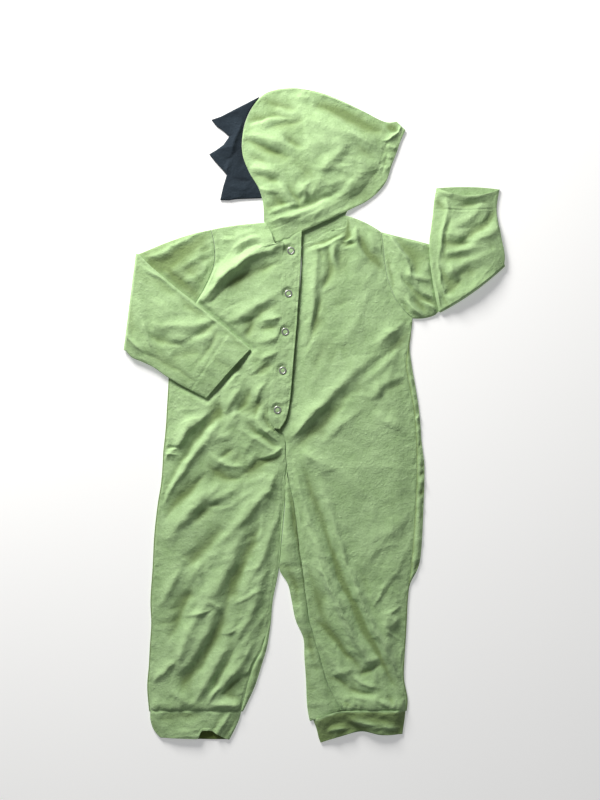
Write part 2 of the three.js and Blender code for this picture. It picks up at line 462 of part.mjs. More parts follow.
// A back, flat on the surface. Its edge rolls up round the front's seam, as high as the front's own edge.
function backGeometry(rows, side) {
  const rim = FRONT_LEVEL + WALL - 0.1;
  const [gap, wall] = [(SEAM_GAP + 0.1) / SQUARE, (SEAM_GAP + 0.25) / SQUARE];
  const upper = rows.map((row) => {
    const lip = ease(row.lip);
    const legLip = side > 0 && row.leg > 0.5 ? ease(row.leg) : 0;
    const from = row.lip > 0 ? row.seam.x - side * gap : row.outline.x + side * (gap + wall);
    const inner = row.leg > 0.5 ? row.front : { x: row.back.x - side * 1.2, y: row.back.y };
    const to = { x: inner.x + side * gap, y: inner.y };
    const columns = [
      { ...row.outline, z: mix(WALL, rim - 0.4, lip) },
      { x: from - side * (wall - gap), y: row.seam.y, z: mix(WALL, rim, lip) },
      { x: from, y: row.seam.y, z: WALL },
      { x: mix(from, to.x, 0.5), y: mix(row.seam.y, to.y, 0.5) - row.bow, z: WALL },
      { ...to, z: WALL },
      { x: inner.x + side * wall, y: inner.y, z: mix(WALL, rim, legLip) },
      { ...row.back, z: mix(WALL, rim - 0.4, legLip) },
    ];
    return columns.map((p) => new THREE.Vector3(chartX(p.x), chartY(p.y), p.z));
  });
  const lower = upper.map((row) => row.map((p) => new THREE.Vector3(p.x, p.y, 0)));
  return sheetGeometry(upper, lower);
}

// A strip of cloth between the left and right edges in a table, with its underside at a level.
function stripGeometry(table, level, wall, along, across) {
  const lower = Array.from({ length: along + 1 }, (_, i) => {
    const t = (i / along) * (table.length - 1);
    const at = (name) => smooth(table, name, t);
    return Array.from({ length: across + 1 }, (_, j) => {
      const u = j / across;
      return new THREE.Vector3(chartX(mix(at("lx"), at("rx"), u)), chartY(mix(at("ly"), at("ry"), u)), level);
    });
  });
  const upper = lower.map((row) => row.map((p) => new THREE.Vector3(p.x, p.y, p.z + wall)));
  return sheetGeometry(upper, lower);
}

// Stations of a flattened tube: its middle line across, its height, and the way its upper side faces.
function sleeveStations(upperArm, forearm, armhole) {
  const bend = armhole.map((point, i) => {
    const w = i / (armhole.length - 1);
    const [first, last] = [armhole[0], armhole[armhole.length - 1]];
    return { w, x: point.ox - mix(first.ox, last.ox, w), y: point.oy - mix(first.oy, last.oy, w) };
  });
  const bent = (p, row, axis) =>
    p[axis.toLowerCase()] * (row.armhole ?? 0) + (row["bow" + axis] ?? 0) * 4 * p.w * (1 - p.w);
  const flat = (row, facing) => ({
    a: new THREE.Vector3(chartX(row.ax), chartY(row.ay), row.z),
    b: new THREE.Vector3(chartX(row.bx), chartY(row.by), row.z),
    normal: new THREE.Vector3(0, 0, facing),
    bend: bend.map((p) => ({ x: bent(p, row, "X") * SQUARE, y: -bent(p, row, "Y") * SQUARE })),
    dip: (row.dip ?? 0) * SQUARE,
    flatness: 1,
  });
  const lower = upperArm.map((row) => flat(row, 1));
  const upper = forearm.map((row) => flat(row, -1));
  const [start, end] = [lower[lower.length - 1], upper[0]];
  const along = new THREE.Vector3().subVectors(start.b, start.a).normalize();
  const outwards = new THREE.Vector3(along.y, -along.x, 0);
  const before = lower[lower.length - 2];
  if (outwards.dot(new THREE.Vector3().subVectors(start.a, before.a)) < 0) outwards.negate();
  const radius = (end.a.z - start.a.z) / 2;
  const turns = [1, 2, 3].map((k) => {
    const angle = (k / 4) * Math.PI;
    const move = outwards.clone().multiplyScalar(radius * Math.sin(angle));
    move.z = radius * (1 - Math.cos(angle));
    const normal = outwards.clone().multiplyScalar(-Math.sin(angle));
    normal.z = Math.cos(angle);
    return { ...start, a: start.a.clone().add(move), b: start.b.clone().add(move), normal, flatness: 0 };
  });
  return [...lower, ...turns, ...upper];
}

// Stations of an ankle band, which lies as it is worn with no fold.
function bandStations(table) {
  return table.map((row) => ({
    a: new THREE.Vector3(chartX(row.ax), chartY(row.ay), SLEEVE_HALF),
    b: new THREE.Vector3(chartX(row.bx), chartY(row.by), SLEEVE_HALF),
    normal: new THREE.Vector3(0, 0, 1),
    bend: [0, row.b1, row.b2, row.b3, 0].map((y) => ({ x: 0, y: -y * SQUARE })),
    dip: row.dip * SQUARE,
    flatness: 1,
  }));
}

// A flattened tube through its stations. Folds raise whichever layer faces up.
function flatTubeGeometry(stations, folds, divisions) {
  const rings = { outer: [], inner: [] };
  stations.forEach((station, k) => {
    const width = station.a.distanceTo(station.b);
    const corner = SLEEVE_HALF / width;
    const inside = Array.from({ length: divisions - 1 }, (_, i) => (i + 1) / divisions);
    const across = [0, corner, ...inside, 1 - corner, 1];
    const place = (w, layer, height) => {
      const point = new THREE.Vector3().lerpVectors(station.a, station.b, w);
      const t = w * (station.bend.length - 1);
      point.x += straight(station.bend, "x", Math.min(t, station.bend.length - 1));
      point.y += straight(station.bend, "y", Math.min(t, station.bend.length - 1));
      const up = layer * station.normal.z > 0.5;
      if (up) point.y -= station.dip * 4 * w * (1 - w);
      const ends = ease(Math.min(k, stations.length - 1 - k) / 1.5) * station.flatness;
      const edges = ease((w * width) / FOLD_FADE) * ease(((1 - w) * width) / FOLD_FADE);
      const [x, y] = [point.x / SQUARE + CHART_MIDDLE.x, CHART_MIDDLE.y - point.y / SQUARE];
      const lift = up ? (foldHeight(folds, x, y) + 0.4) * ends * edges : 0;
      return point.addScaledVector(station.normal, layer * (height + lift));
    };
    const inset = WALL / width;
    const tuck = (w) => (w === 0 ? inset : w === 1 ? 1 - inset : w);
    const ring = (height, move) => [
      ...across.map((w) => place(move(w), 1, w === 0 || w === 1 ? 0 : height)),
      ...across.slice(1, -1).reverse().map((w) => place(move(w), -1, height)),
    ];
    rings.outer.push(ring(SLEEVE_HALF, (w) => w));
    rings.inner.push(ring(SLEEVE_HALF - WALL, tuck));
  });
  return tubeGeometry(rings.outer, rings.inner);
}

// How far the neck lifts the hood's under panel, and how much further the placket lifts the one over it.
const neckLevel = (y) => FRONT_LEVEL * ease((y - 198) / 16);
const placketLevel = (x, y) => 2.5 * ease((x - 272) / 11) * ease((y - 205) / 18);

// A side panel of the hood, between the crown seam and its face edge.
function hoodGeometry(face, level, folds, across, along) {
  const lower = Array.from({ length: along + 1 }, (_, i) => {
    const t = (i / along) * (HOOD.length - 1);
    const at = (name) => smooth(HOOD, name, t);
    const edge = { x: at(face + "x"), y: at(face + "y") };
    const width = Math.hypot(edge.x - at("cx"), edge.y - at("cy")) * SQUARE;
    return Array.from({ length: across + 1 }, (_, j) => {
      const u = j / across;
      const [x, y] = [mix(at("cx"), edge.x, u), mix(at("cy"), edge.y, u)];
      const sides = ease((u * width) / FOLD_FADE) * ease(((1 - u) * width) / FOLD_FADE);
      const fade = sides * ease(i / 2) * ease((along - i) / 2);
      const lift = (foldHeight(folds, x, y) + (folds.length ? BODY_PUFF : 0)) * fade;
      return new THREE.Vector3(chartX(x), chartY(y), level(x, y) + lift);
    });
  });
  const upper = lower.map((row) => row.map((p) => new THREE.Vector3(p.x, p.y, p.z + WALL)));
  return sheetGeometry(upper, lower);
}

// The spike strip: flat below, thin at its points and thicker along the crown seam.
function spikesGeometry() {
  const across = 5;
  const lower = [];
  for (let i = 0; i < SPIKES.length; i++) {
    const row = SPIKES[i];
    const point = (u) => new THREE.Vector3(chartX(mix(row.ix, row.ox, u)), chartY(mix(row.iy, row.oy, u)), 0);
    lower.push(Array.from({ length: across + 1 }, (_, j) => point(j / across)));
  }
  const crest = (u) => 1.1 * Math.exp(-(((u - 0.42) / 0.22) ** 2));
  const upper = lower.map((row, i) => {
    const ends = Math.min(i, lower.length - 1 - i, 1);
    return row.map((p, j) => new THREE.Vector3(p.x, p.y, SPIKE_WALL + ends * crest(j / across)));
  });
  return sheetGeometry(upper, lower);
}

// A ring snap: a flat metal ring with a rounded face.
function snapGeometry() {
  const [r, R, h] = [SNAP.inner / 2, SNAP.outer / 2, SNAP.thick];
  const profile = [
    [r, 0],
    [R, 0],
    [R, h * 0.5],
    [mix(r, R, 0.7), h],
    [mix(r, R, 0.25), h],
    [r, 0],
  ].map(([x, y]) => new THREE.Vector2(x, y));
  return new THREE.LatheGeometry(profile, SNAP.sides).rotateX(Math.PI / 2);
}

const jersey = new THREE.MeshStandardMaterial({ color: 0xa9cb88, roughness: 0.95, metalness: 0 });
const darkJersey = new THREE.MeshStandardMaterial({ color: 0x2f3d49, roughness: 0.92, metalness: 0 });
const metal = new THREE.MeshStandardMaterial({ color: 0xc9c9c6, roughness: 0.25, metalness: 1 });

const onesie = new THREE.Group();
function add(name, geometry, material) {
  const mesh = new THREE.Mesh(geometry, material.clone());
  mesh.name = name;
  onesie.add(mesh);
  return mesh;
}

const rightRows = bodyRows(RIGHT_ARMHOLE, RIGHT_BODY, 1, 1.4);
const leftRows = bodyRows(LEFT_ARMHOLE, LEFT_BODY, -1, 2.2);
add("back_right", backGeometry(rightRows, 1), jersey);
add("back_left", backGeometry(leftRows, -1), jersey);
add("front_right", frontGeometry(rightRows, PLACKET_STEP), jersey);
add("front_left", frontGeometry(leftRows, 0), jersey);

add("placket_under", stripGeometry(PLACKET_UNDER, FRONT_LEVEL, WALL, 18, 2), jersey);
add("placket_outer", stripGeometry(PLACKET_OUTER, PLACKET_LEVEL, PLACKET_WALL, 22, 3), jersey);

const rightSleeve = sleeveStations(RIGHT_UPPER_ARM, RIGHT_FOREARM, RIGHT_ARMHOLE);
const leftSleeve = sleeveStations(LEFT_UPPER_ARM, LEFT_FOREARM, LEFT_ARMHOLE);
add("sleeve_right", flatTubeGeometry(rightSleeve, SLEEVE_FOLDS, FINE.armhole), jersey);
add("sleeve_left", flatTubeGeometry(leftSleeve, SLEEVE_FOLDS, FINE.armhole), jersey);
add("ankle_band_right", flatTubeGeometry(bandStations(RIGHT_BAND), [], 8), jersey);
add("ankle_band_left", flatTubeGeometry(bandStations(LEFT_BAND), [], 8), jersey);

const overHood = (x, y) => FRONT_LEVEL + neckLevel(y) + placketLevel(x, y);
add("hood_left", hoodGeometry("l", (x, y) => neckLevel(y), [], 6, 20), jersey);
add("hood_right", hoodGeometry("r", overHood, HOOD_FOLDS, 12, 24), jersey);
add("spikes", spikesGeometry(), darkJersey);

const snapLevel = PLACKET_LEVEL + PLACKET_WALL + SEAM_GAP;
SNAPS.forEach(({ x, y }, i) => {
  add("snap_" + (i + 1), snapGeometry(), metal).position.set(chartX(x), chartY(y), snapLevel);
});

export default onesie;
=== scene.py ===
"""The looks of a child's hooded dragon onesie in green jersey, laid flat on its back.

The garment's plan is read off a flat chart, in squares of 1.4 mm counted across from its left edge and
down from its top edge, and heights above the surface are in millimetres. +Y runs from the ankles to the
hood, and the wearer's right side is at -X.
"""

from __future__ import annotations

import json
import logging
import math
from dataclasses import dataclass
from enum import Enum

import bpy
import numpy as np
from mathutils import Vector
from mathutils.bvhtree import BVHTree
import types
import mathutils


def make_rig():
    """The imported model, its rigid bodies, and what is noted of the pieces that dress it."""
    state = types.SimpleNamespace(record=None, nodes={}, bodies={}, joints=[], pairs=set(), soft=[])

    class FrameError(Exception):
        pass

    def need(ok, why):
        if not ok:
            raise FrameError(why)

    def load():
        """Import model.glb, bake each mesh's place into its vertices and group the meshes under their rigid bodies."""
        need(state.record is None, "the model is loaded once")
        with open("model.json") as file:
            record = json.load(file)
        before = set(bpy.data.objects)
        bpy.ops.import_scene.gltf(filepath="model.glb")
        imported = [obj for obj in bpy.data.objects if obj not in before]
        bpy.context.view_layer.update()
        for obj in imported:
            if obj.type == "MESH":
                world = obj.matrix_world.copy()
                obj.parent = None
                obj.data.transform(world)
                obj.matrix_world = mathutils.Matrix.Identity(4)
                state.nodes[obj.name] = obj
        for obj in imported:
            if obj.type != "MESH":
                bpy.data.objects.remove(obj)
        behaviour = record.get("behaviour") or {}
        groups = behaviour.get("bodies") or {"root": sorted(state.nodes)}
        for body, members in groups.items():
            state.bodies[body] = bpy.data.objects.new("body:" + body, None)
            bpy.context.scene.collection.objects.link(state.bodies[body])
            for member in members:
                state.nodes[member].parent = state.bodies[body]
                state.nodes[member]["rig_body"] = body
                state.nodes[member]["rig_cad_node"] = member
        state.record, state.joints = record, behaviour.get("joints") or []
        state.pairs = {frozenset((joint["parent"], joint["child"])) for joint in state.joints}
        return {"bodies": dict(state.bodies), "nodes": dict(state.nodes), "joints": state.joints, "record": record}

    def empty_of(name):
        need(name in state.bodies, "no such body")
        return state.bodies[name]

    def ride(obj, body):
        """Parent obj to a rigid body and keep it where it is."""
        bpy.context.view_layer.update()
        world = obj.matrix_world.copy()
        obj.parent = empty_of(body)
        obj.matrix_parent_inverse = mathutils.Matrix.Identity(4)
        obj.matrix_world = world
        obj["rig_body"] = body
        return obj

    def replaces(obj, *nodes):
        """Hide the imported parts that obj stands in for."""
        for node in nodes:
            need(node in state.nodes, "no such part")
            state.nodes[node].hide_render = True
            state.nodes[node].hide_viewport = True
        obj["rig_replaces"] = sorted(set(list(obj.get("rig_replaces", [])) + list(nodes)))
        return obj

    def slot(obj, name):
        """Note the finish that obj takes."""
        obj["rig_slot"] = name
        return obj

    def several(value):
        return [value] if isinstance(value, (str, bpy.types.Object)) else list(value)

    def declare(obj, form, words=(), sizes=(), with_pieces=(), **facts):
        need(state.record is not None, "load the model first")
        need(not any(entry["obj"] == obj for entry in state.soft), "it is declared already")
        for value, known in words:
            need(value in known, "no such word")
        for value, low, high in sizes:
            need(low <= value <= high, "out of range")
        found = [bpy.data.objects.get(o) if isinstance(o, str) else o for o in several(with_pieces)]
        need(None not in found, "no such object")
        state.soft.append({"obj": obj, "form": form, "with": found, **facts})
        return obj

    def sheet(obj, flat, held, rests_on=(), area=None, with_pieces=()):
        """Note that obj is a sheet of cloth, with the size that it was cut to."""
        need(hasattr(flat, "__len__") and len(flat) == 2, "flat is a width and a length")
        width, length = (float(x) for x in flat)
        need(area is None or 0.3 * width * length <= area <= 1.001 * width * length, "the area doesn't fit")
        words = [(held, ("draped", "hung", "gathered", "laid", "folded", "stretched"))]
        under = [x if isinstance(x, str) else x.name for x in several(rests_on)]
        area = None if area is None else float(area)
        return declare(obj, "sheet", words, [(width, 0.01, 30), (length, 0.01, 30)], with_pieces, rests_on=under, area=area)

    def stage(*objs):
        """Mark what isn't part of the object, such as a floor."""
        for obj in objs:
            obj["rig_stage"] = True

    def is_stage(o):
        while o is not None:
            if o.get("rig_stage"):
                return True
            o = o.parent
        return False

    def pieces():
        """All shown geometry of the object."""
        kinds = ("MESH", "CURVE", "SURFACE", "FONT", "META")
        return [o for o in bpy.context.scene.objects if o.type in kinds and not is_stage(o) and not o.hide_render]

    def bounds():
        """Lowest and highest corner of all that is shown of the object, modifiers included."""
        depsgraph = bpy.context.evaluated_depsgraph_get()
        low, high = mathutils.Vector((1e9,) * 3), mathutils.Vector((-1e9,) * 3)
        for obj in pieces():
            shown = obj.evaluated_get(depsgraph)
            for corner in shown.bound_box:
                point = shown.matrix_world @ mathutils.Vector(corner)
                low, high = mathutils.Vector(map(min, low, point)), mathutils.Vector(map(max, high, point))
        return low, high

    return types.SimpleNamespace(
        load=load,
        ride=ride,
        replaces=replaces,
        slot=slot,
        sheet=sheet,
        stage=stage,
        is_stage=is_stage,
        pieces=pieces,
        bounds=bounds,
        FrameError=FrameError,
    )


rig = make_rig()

LOG = logging.getLogger("dragon_onesie")
Array = np.ndarray
Material = bpy.types.Material
Piece = bpy.types.Object
Socket = bpy.types.NodeSocket
Colour = tuple[float, float, float]
Places = tuple[tuple[float, float], ...]

SQUARE = 1.4  # millimetres in one square of the chart
CHART_MIDDLE = (315.0, 415.6)  # the square under the middle of the garment
WALL = 1.1  # one layer of jersey
FRONT_LEVEL = 1.5  # underside of the fronts, over the back
PLACKET_LEVEL = 3.0  # underside of the outer placket
FORE_HALF = 1.35  # half of a flattened sleeve's thickness
HEM_DEPTH = 31.0  # from a cuff's edge to its stitched line
DEEPEST_TROUGH = 3.4  # where a trough on a sleeve or band levels off
STITCHED_LINE = (-0.35, 1.6)  # depth and half width of the groove along a hem's stitches
COLLAR_FOOT = 246.0  # the chart's row where the collar stops lifting the front
PLACKET_FOOT = 441.0  # the row where the opening ends
INNER_LEG_TOP = 480.0  # the row where the back starts to show inside the left leg


def catmull_rom(a: Array, b: Array, c: Array, d: Array, s: Array) -> Array:
    """The cubic from b to c as s runs from 0 to 1, with half of c - a and of d - b as its end slopes."""
    return b + 0.5 * s * (c - a + s * (2 * a - 5 * b + 4 * c - d + s * (3 * (b - c) + d - a)))


class Slot(Enum):
    """The record's material slots."""

    GREEN = "green_jersey"
    NAVY = "navy_jersey"
    METAL = "snap_metal"


@dataclass(frozen=True)
class Table:
    """A short table of numbers with named columns, a row for each section or fold."""

    columns: dict[str, Array]

    @classmethod
    def read(cls, text: str) -> "Table":
        """Reads a table whose first line names its columns.

        Args:
            text: The names and then the rows, with spaces between the numbers.

        Returns:
            The table.
        """
        lines = [line.split() for line in text.strip().splitlines()]
        numbers = np.array([[float(v) for v in line] for line in lines[1:]])
        return cls({name: numbers[:, k] for k, name in enumerate(lines[0])})

    def __len__(self) -> int:
        """The number of rows."""
        return len(next(iter(self.columns.values())))

    def at(self, name: str, t: Array | float) -> Array:
        """A column on a Catmull-Rom curve through its rows.

        Args:
            name: The column.
            t: Where to read it, in rows.

        Returns:
            The column's value at each t.
        """
        rows = self.columns[name]
        t = np.asarray(t, float)
        i = np.clip(np.floor(t).astype(int), 0, len(rows) - 2)
        return catmull_rom(*(rows[np.clip(i + k, 0, len(rows) - 1)] for k in (-1, 0, 1, 2)), t - i)

    def optional(self, name: str, t: Array) -> Array:
        """A column as at() gives it, or zeros where the table doesn't have it."""
        return self.at(name, t) if name in self.columns else 0 * t

    def points(self, x: str, y: str, t: Array | float) -> Array:
        """Two columns as places on the chart, with the last axis x, y."""
        return np.stack([self.at(x, t), self.at(y, t)], axis=-1)

    def rows(self) -> list[dict[str, float]]:
        """The rows, each as a dictionary of its columns."""
        return [{k: float(v[i]) for k, v in self.columns.items()} for i in range(len(self))]


RIGHT_ARMHOLE = Table.read("""
ox    oy    fx    fy    bx    by
211.5 230.0 266.0 223.4 262.0 225.4
214.3 243.0 271.6 234.0 280.0 228.0
215.3 256.0 275.6 244.6 302.2 230.0
213.5 268.0 283.3 242.6 301.6 245.0
208.5 280.5 283.0 256.0 301.0 260.0
202.0 293.0 282.7 270.0 300.4 275.0
194.0 304.5 282.3 285.0 299.8 290.0
184.5 313.5 281.9 302.0 299.2 305.0
174.0 320.0 281.2 320.0 298.5 320.0
""")
LEFT_ARMHOLE = Table.read("""
ox    oy    fx    fy    bx    by
381.0 232.3 344.8 215.8 346.8 217.0
383.0 246.0 344.2 226.4 325.0 225.0
384.3 259.0 328.6 231.2 302.8 230.0
386.0 272.0 313.2 239.6 302.2 245.0
389.5 285.0 302.2 246.4 301.6 260.0
394.5 297.5 301.4 266.0 301.0 275.0
400.0 306.0 300.2 284.0 300.4 290.0
406.0 313.0 299.0 301.0 299.8 305.0
412.6 318.6 297.6 318.6 299.1 318.6
""")
# Below the armholes: the outline, how far the back shows beside it, and the inner edges.
RIGHT_BODY = Table.read("""
y     ox    roll fx    bx    leg by
320   174.0 1.2  281.2 298.5 0   320
345   171.0 1.2  278.4 296.4 0   345
367   169.3 1.2  275.2 294.6 0   367
388   168.2 1.2  271.2 292.9 0   388
408   167.0 1.2  268.6 291.4 0   408
420   166.3 1.2  270.0 290.4 0   420
430   165.6 1.2  275.3 289.6 0   430
440   164.6 1.2  284.6 288.8 0   440
452   163.3 1.2  285.1 287.7 0   452
464   162.7 1.2  286.1 287.4 0   464
484   161.0 1.2  284.0 285.9 1   484
505   157.6 1.2  282.9 284.7 1   505
535   154.3 1.2  280.3 282.1 1   535
568   152.6 1.2  277.4 279.1 1   568
600   150.5 1.2  271.7 272.9 1   600
623   151.3 1.2  269.0 270.8 1   623
646   149.9 1.2  262.7 267.2 1   646
665   148.9 1.2  253.5 261.6 1   665
687   147.3 1.2  246.8 254.5 1   687
711   149.2 1.2  241.0 243.2 1   711
""")
LEFT_BODY = Table.read("""
y     ox    roll fx    bx    leg by
318.6 412.6 1.2  297.6 299.1 0   318.6
332   411.6 1.2  296.9 298.1 0   332
347   409.6 1.6  295.7 297.0 0   347
366   411.7 6.0  294.0 295.3 0   366
390   415.9 6.0  292.2 293.4 0   390
409   418.8 5.5  289.4 291.9 0   409
421   420.0 5.3  286.6 290.9 0   421
430   420.7 5.4  281.8 290.2 0   430
440   421.3 5.4  285.6 289.3 0   440
452   422.8 6.5  285.9 288.3 0   452
464   424.2 7.8  286.7 285.6 0   464
484   424.3 8.0  289.6 284.9 1   484
505   423.5 8.0  294.0 284.9 1   505
535   422.2 9.0  298.3 282.3 1   535
558   420.3 9.0  301.0 280.2 1   558
570   417.0 6.0  302.5 279.6 1   570
584   410.0 1.5  304.5 287.8 1   584
600   407.8 1.2  306.5 291.5 1   600
620   406.8 1.2  309.0 295.6 1   620
638   405.8 1.2  314.5 303.3 1   638
657   404.5 1.2  320.0 304.3 1   657
678   404.0 1.2  326.0 305.8 1   678
698   407.5 1.2  335.0 307.0 1   705
710.5 406.7 1.2  341.0 309.6 1   720.6
""")
PLACKET_OUTER = Table.read("""
lx    ly    rx    ry
284.3 239.5 301.8 231.5
283.6 256.0 301.1 252.0
283.2 280.0 299.9 279.0
282.2 306.0 298.0 306.0
280.6 330.0 296.4 330.0
276.6 362.0 293.4 362.0
271.8 390.0 291.2 390.0
269.8 408.0 288.6 409.5
271.0 419.0 285.6 420.0
276.0 428.6 279.8 429.0
""")
PLACKET_UNDER = Table.read("""
lx    ly    rx    ry
284.6 250.6 301.0 249.0
283.9 280.0 299.4 280.0
282.9 306.0 297.4 306.0
281.2 330.0 295.8 330.0
277.2 362.0 292.8 362.0
272.4 390.0 290.6 390.0
270.8 408.0 288.0 409.5
272.6 420.0 285.4 421.0
278.4 431.5 280.4 431.5
""")
SNAP_PLACES = Table.read("""
x     y
291.0 251.3
288.5 294.0
285.3 332.0
282.8 370.7
277.6 410.0
""")
# Sleeves: a and b are the two edges, z the height of the middle between the layers.
RIGHT_UPPER_ARM = Table.read("""
ax    ay    bx    by    z    armhole bow_x bow_y
211.2 230.0 173.7 320.0 1.35 1       0     0
196.0 233.2 166.0 326.0 1.35 0.72    0     0
180.0 238.0 155.0 333.5 1.35 0.4     0     0
164.0 243.8 144.5 340.5 1.35 0.15    0     0
150.0 249.6 134.5 346.5 1.35 0       0     0
138.6 254.3 126.3 350.8 1.35 0       0     0
""")
RIGHT_FOREARM = Table.read("""
ax    ay    bx    by    z    dip  bow_x bow_y
138.6 254.3 126.3 350.8 5.55 0    0     0
150.0 265.5 132.4 357.6 5.55 0    0     0
165.0 278.5 141.6 361.6 5.55 0    0     0
180.0 291.0 154.0 367.5 5.6  0    0     0
196.0 303.5 166.0 376.0 5.7  0    0     0
213.0 317.5 179.0 384.0 5.8  0    0     0
228.0 330.0 190.0 390.0 5.5  0    0     0
240.0 340.2 198.8 394.5 5.0  0    0     0
250.8 349.4 206.6 398.5 4.6  -1.0 0     0
""")
LEFT_UPPER_ARM = Table.read("""
ax    ay    bx    by    z    armhole bow_x bow_y
381.3 232.3 412.9 318.6 1.35 1       0     0
398.0 236.6 418.0 318.8 1.35 0.7     0     0
418.0 241.4 424.0 318.4 1.35 0.35    0     0
442.0 248.0 430.0 317.0 1.35 0.1     0     0
470.0 256.0 435.0 315.0 1.35 0       0     0
503.6 264.6 438.5 311.2 1.35 0       1.5   2.4
""")
LEFT_FOREARM = Table.read("""
ax    ay    bx    by    z    dip bow_x bow_y
503.6 264.6 438.5 311.2 5.05 0   1.5   2.4
504.2 258.0 435.5 299.0 5.05 0   1.1   1.8
503.4 250.5 432.4 283.0 5.05 0   0.5   0.8
501.2 240.0 429.6 262.0 5.0  0   0     0
499.6 231.0 429.0 243.0 4.5  0   0     0
497.8 222.0 430.8 228.0 2.9  0   0     0
496.6 212.0 432.8 213.0 1.7  1   0     0
497.2 202.0 433.8 202.0 1.4  4   0     0
499.4 189.5 436.2 188.4 1.35 9.5 0     -1.8
""")
RIGHT_BAND = Table.read("""
ax    ay    bx    by    b1  b2  b3  dip
150.4 710.2 241.4 710.2 0   0   0   0
150.4 719.0 239.6 718.0 0   0   0   0
153.6 729.0 235.0 728.6 0   0   0   -0.5
160.0 737.0 229.6 739.0 0.4 0.6 0.4 -1.0
""")
LEFT_BAND = Table.read("""
ax    ay    bx    by    b1   b2   b3   dip
405.6 709.4 313.0 719.0 -2.6 -5.1 -6.1 0
404.6 718.4 316.6 729.0 -2.8 -5.4 -5.6 0
403.4 726.5 318.4 736.6 -1.8 -6.0 -4.6 -0.6
402.4 733.4 320.4 742.2 -0.6 -6.6 -3.8 -2
""")
# The crown seam, and the face edges of the upper (r) and the under (l) side panel.
HOOD = Table.read("""
cx    cy    rx    ry    lx    ly
396.5 122.0 405.4 130.6 403.4 131.4
384.0 122.0 400.6 141.0 397.6 141.0
362.0 111.0 396.6 152.5 393.0 153.0
341.0 101.0 391.4 166.0 387.2 167.0
322.0 93.6  386.2 181.4 379.8 180.5
304.0 89.6  377.5 192.8 371.0 191.0
290.0 88.6  366.5 201.6 359.0 200.0
275.0 90.4  354.0 208.0 350.0 208.0
262.0 96.2  343.4 213.4 345.4 215.6
250.6 111.0 331.0 219.4 345.0 227.6
243.6 130.0 318.0 225.2 331.4 232.4
242.4 153.0 305.0 231.2 319.6 237.6
249.0 172.0 293.6 236.6 303.6 247.0
258.0 187.0 284.6 240.4 290.0 241.0
263.0 203.0 278.0 243.0 277.0 235.0
264.0 221.6 273.2 245.0 267.5 227.4
""")
SPIKES = Table.read("""
ix    iy    ox    oy
259.6 97.2  258.2 97.6
257.0 101.0 247.0 103.6
253.6 105.4 232.0 111.2
250.0 110.6 220.8 117.0
247.4 116.0 211.4 120.2
245.2 121.6 216.4 126.6
243.6 127.6 223.4 131.4
242.6 134.6 229.2 137.0
241.9 140.4 223.4 145.2
241.6 146.6 216.0 150.6
242.4 152.6 209.2 154.6
244.2 159.0 215.0 162.0
246.6 165.6 221.6 169.2
249.4 171.6 226.8 175.4
252.6 177.2 223.2 187.0
255.8 182.6 220.2 200.4
259.0 188.4 229.0 200.6
262.4 198.4 236.0 199.4
""")

